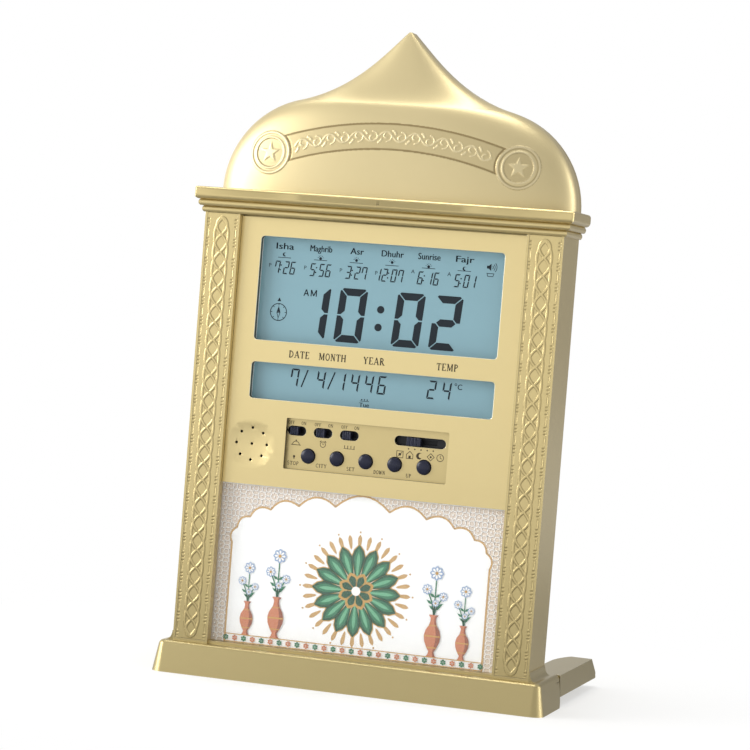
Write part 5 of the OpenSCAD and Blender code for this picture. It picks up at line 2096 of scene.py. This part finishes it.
@dataclass
class Stage:
    """Floor, soft light and the camera at the photograph's angle."""

    lens: float = 125.84997
    place: Point3 = (314.228, -1044.7595, 162.7476)
    azimuth: float = 16.6179
    elevation: float = 1.5534
    roll: float = 4.5466
    floor_half: float = 3.0
    aim: Point3 = (0.0, 0.0, 0.15)
    sides: tuple[tuple[float, float, float, float, float], ...] = (
        (0.70, -0.71, 0.45, 0.95, 0.8), (-0.96, 0.28, 0.35, 0.95, 1.4), (0.98, 0.17, 0.65, 0.95, 1.6),
        (0.26, 0.97, 0.75, 0.96, 0.3))

    def build(self) -> None:
        """Makes the stage."""
        self.floor()
        self.world()
        self.lamps()
        self.camera()

    def floor(self) -> None:
        """A plain pale floor that fades into the background away from the object; in reflections it glows
        with painted shade near the object and towards the back.
        """
        corners = oblong(-self.floor_half, -self.floor_half, self.floor_half, self.floor_half)
        mesh = mesh_of("floor", [(x, y, 0) for x, y in corners], [(0, 1, 2, 3)])
        plane = link("floor", mesh)
        made = bpy.data.materials.new("pale_floor")
        made.use_nodes = True
        w = Wiring(made.node_tree)
        shader = made.node_tree.nodes["Principled BSDF"]
        shader.inputs["Base Color"].default_value = rgb(0.86, 0.86, 0.85)
        shader.inputs["Roughness"].default_value = 0.9
        shader.inputs["Specular IOR Level"].default_value = 0.1
        place = w.add("ShaderNodeTexCoord")
        reach = w.add("ShaderNodeVectorMath", operation="LENGTH")
        w.feed(place.outputs["Object"], reach.inputs[0])
        fade = w.ramp(reach.outputs["Value"], 0.07, 0.25, 0.5, 1.0)
        # In reflections the floor glows with painted shade: dim near the object and towards the back,
        # brighter far away.
        painted_reflection_by_distance = w.ramp(reach.outputs["Value"], 0.15, 0.9, 0.35, 1.15)
        ray = w.add("ShaderNodeLightPath")
        seen = w.maths("MULTIPLY", fade, ray.outputs["Is Camera Ray"])
        share = w.maths("ADD", seen, ray.outputs["Is Glossy Ray"])
        along = w.add("ShaderNodeSeparateXYZ", Vector=place.outputs["Object"])
        level = w.maths("MULTIPLY", painted_reflection_by_distance, w.ramp(along.outputs["Y"], 0.0, 0.4, 1.0, 0.45))
        glow_with_painted_reflection = w.maths("SUBTRACT", 1.0, w.maths("MULTIPLY", ray.outputs["Is Glossy Ray"],
                                               w.maths("SUBTRACT", 1.0, level)))
        glow = w.add("ShaderNodeEmission", Color=rgb(1, 1, 1), Strength=glow_with_painted_reflection)
        w.feed(w.blend(share, shader, glow), made.node_tree.nodes["Material Output"].inputs["Surface"])
        mesh.materials.append(made)

    def world(self) -> None:
        """White for the camera, a soft room of light greys for the object."""
        world = bpy.data.worlds.new("soft_room")
        bpy.context.scene.world = world
        world.use_nodes = True
        w = Wiring(world.node_tree)
        w.tree.nodes.clear()
        place = w.add("ShaderNodeTexCoord")
        axes = w.add("ShaderNodeSeparateXYZ", Vector=place.outputs["Generated"])
        power = w.ramp(axes.outputs["Z"], 0.0, 0.6, 1.3, 0.8)
        for x, y, start, full, share in self.sides:
            toward = w.maths("ADD", w.maths("MULTIPLY", axes.outputs["X"], x),
                             w.maths("MULTIPLY", axes.outputs["Y"], y))
            power = w.maths("MULTIPLY", power, w.ramp(toward, start, full, 1.0, share))
        ray = w.add("ShaderNodeLightPath")
        room = w.add("ShaderNodeBackground", Strength=power)
        white = w.add("ShaderNodeBackground", Color=rgb(1, 1, 1), Strength=1.0)
        seen = w.maths("MAXIMUM", ray.outputs["Is Camera Ray"], ray.outputs["Is Transmission Ray"])
        w.add("ShaderNodeOutputWorld", Surface=w.blend(seen, room, white))

    def lamp(self, name: str, place: Point3, size: Point, power: float) -> None:
        """A soft box that faces the aim.

        Args:
            name: its name.
            place: its middle, in metres.
            size: width and height in metres.
            power: watts.
        """
        data = bpy.data.lights.new(name, "AREA")
        data.shape = "RECTANGLE"
        data.size, data.size_y = size
        data.energy = power
        box = link(name, data)
        box.location = place
        box.rotation_euler = (Vector(self.aim) - Vector(place)).to_track_quat("-Z", "Y").to_euler()

    def lamps(self) -> None:
        """A large key from the left and two weak boxes above and behind."""
        self.lamp("key_box", (-1.25, -0.75, 0.55), (0.8, 0.8), 14.0)
        self.lamp("top_box", (-0.1, -0.15, 1.30), (0.9, 0.5), 7.0)
        self.lamp("rear_box", (1.15, 0.20, 0.40), (0.4, 0.9), 3.0)

    def camera(self) -> None:
        """The photograph's camera: its place, direction and roll."""
        az, el, roll = (math.radians(a) for a in (self.azimuth, self.elevation, self.roll))
        back = Vector((math.sin(az) * math.cos(el), -math.cos(az) * math.cos(el), math.sin(el)))
        right = (-back).cross(Vector((0, 0, 1))).normalized()
        up = right.cross(-back)
        across = right * math.cos(roll) + up * math.sin(roll)
        rise = up * math.cos(roll) - right * math.sin(roll)
        data = bpy.data.cameras.new("camera")
        data.lens = self.lens
        data.sensor_width = 36.0
        data.clip_start = 0.05
        camera = link("camera", data)
        turn = Matrix((across, rise, back)).transposed().to_4x4()
        camera.matrix_world = Matrix.Translation(at(*self.place)) @ turn
        bpy.context.scene.camera = camera


def dress_nodes() -> None:
    """Gives every CAD node that still shows its finish."""
    for node, piece in frame["nodes"].items():
        finish = NODE_FINISH.get(node)
        if finish:
            piece.data.materials.clear()
            piece.data.materials.append(finish.material())


def main() -> None:
    """Builds the classes in order."""
    logging.basicConfig(level=logging.INFO, format="%(name)s: %(message)s")
    dress_nodes()
    Mouldings().build()
    Dome().build()
    PillarStrips().build()
    Displays(Lettering()).build()
    Printing(PressLetters()).build()
    Keys().build()
    PicturePanel().build()
    ScrewHeads().build()
    Stage().build()
    bpy.context.scene.view_settings.view_transform = "Standard"


if __name__ == "__main__":
    main()
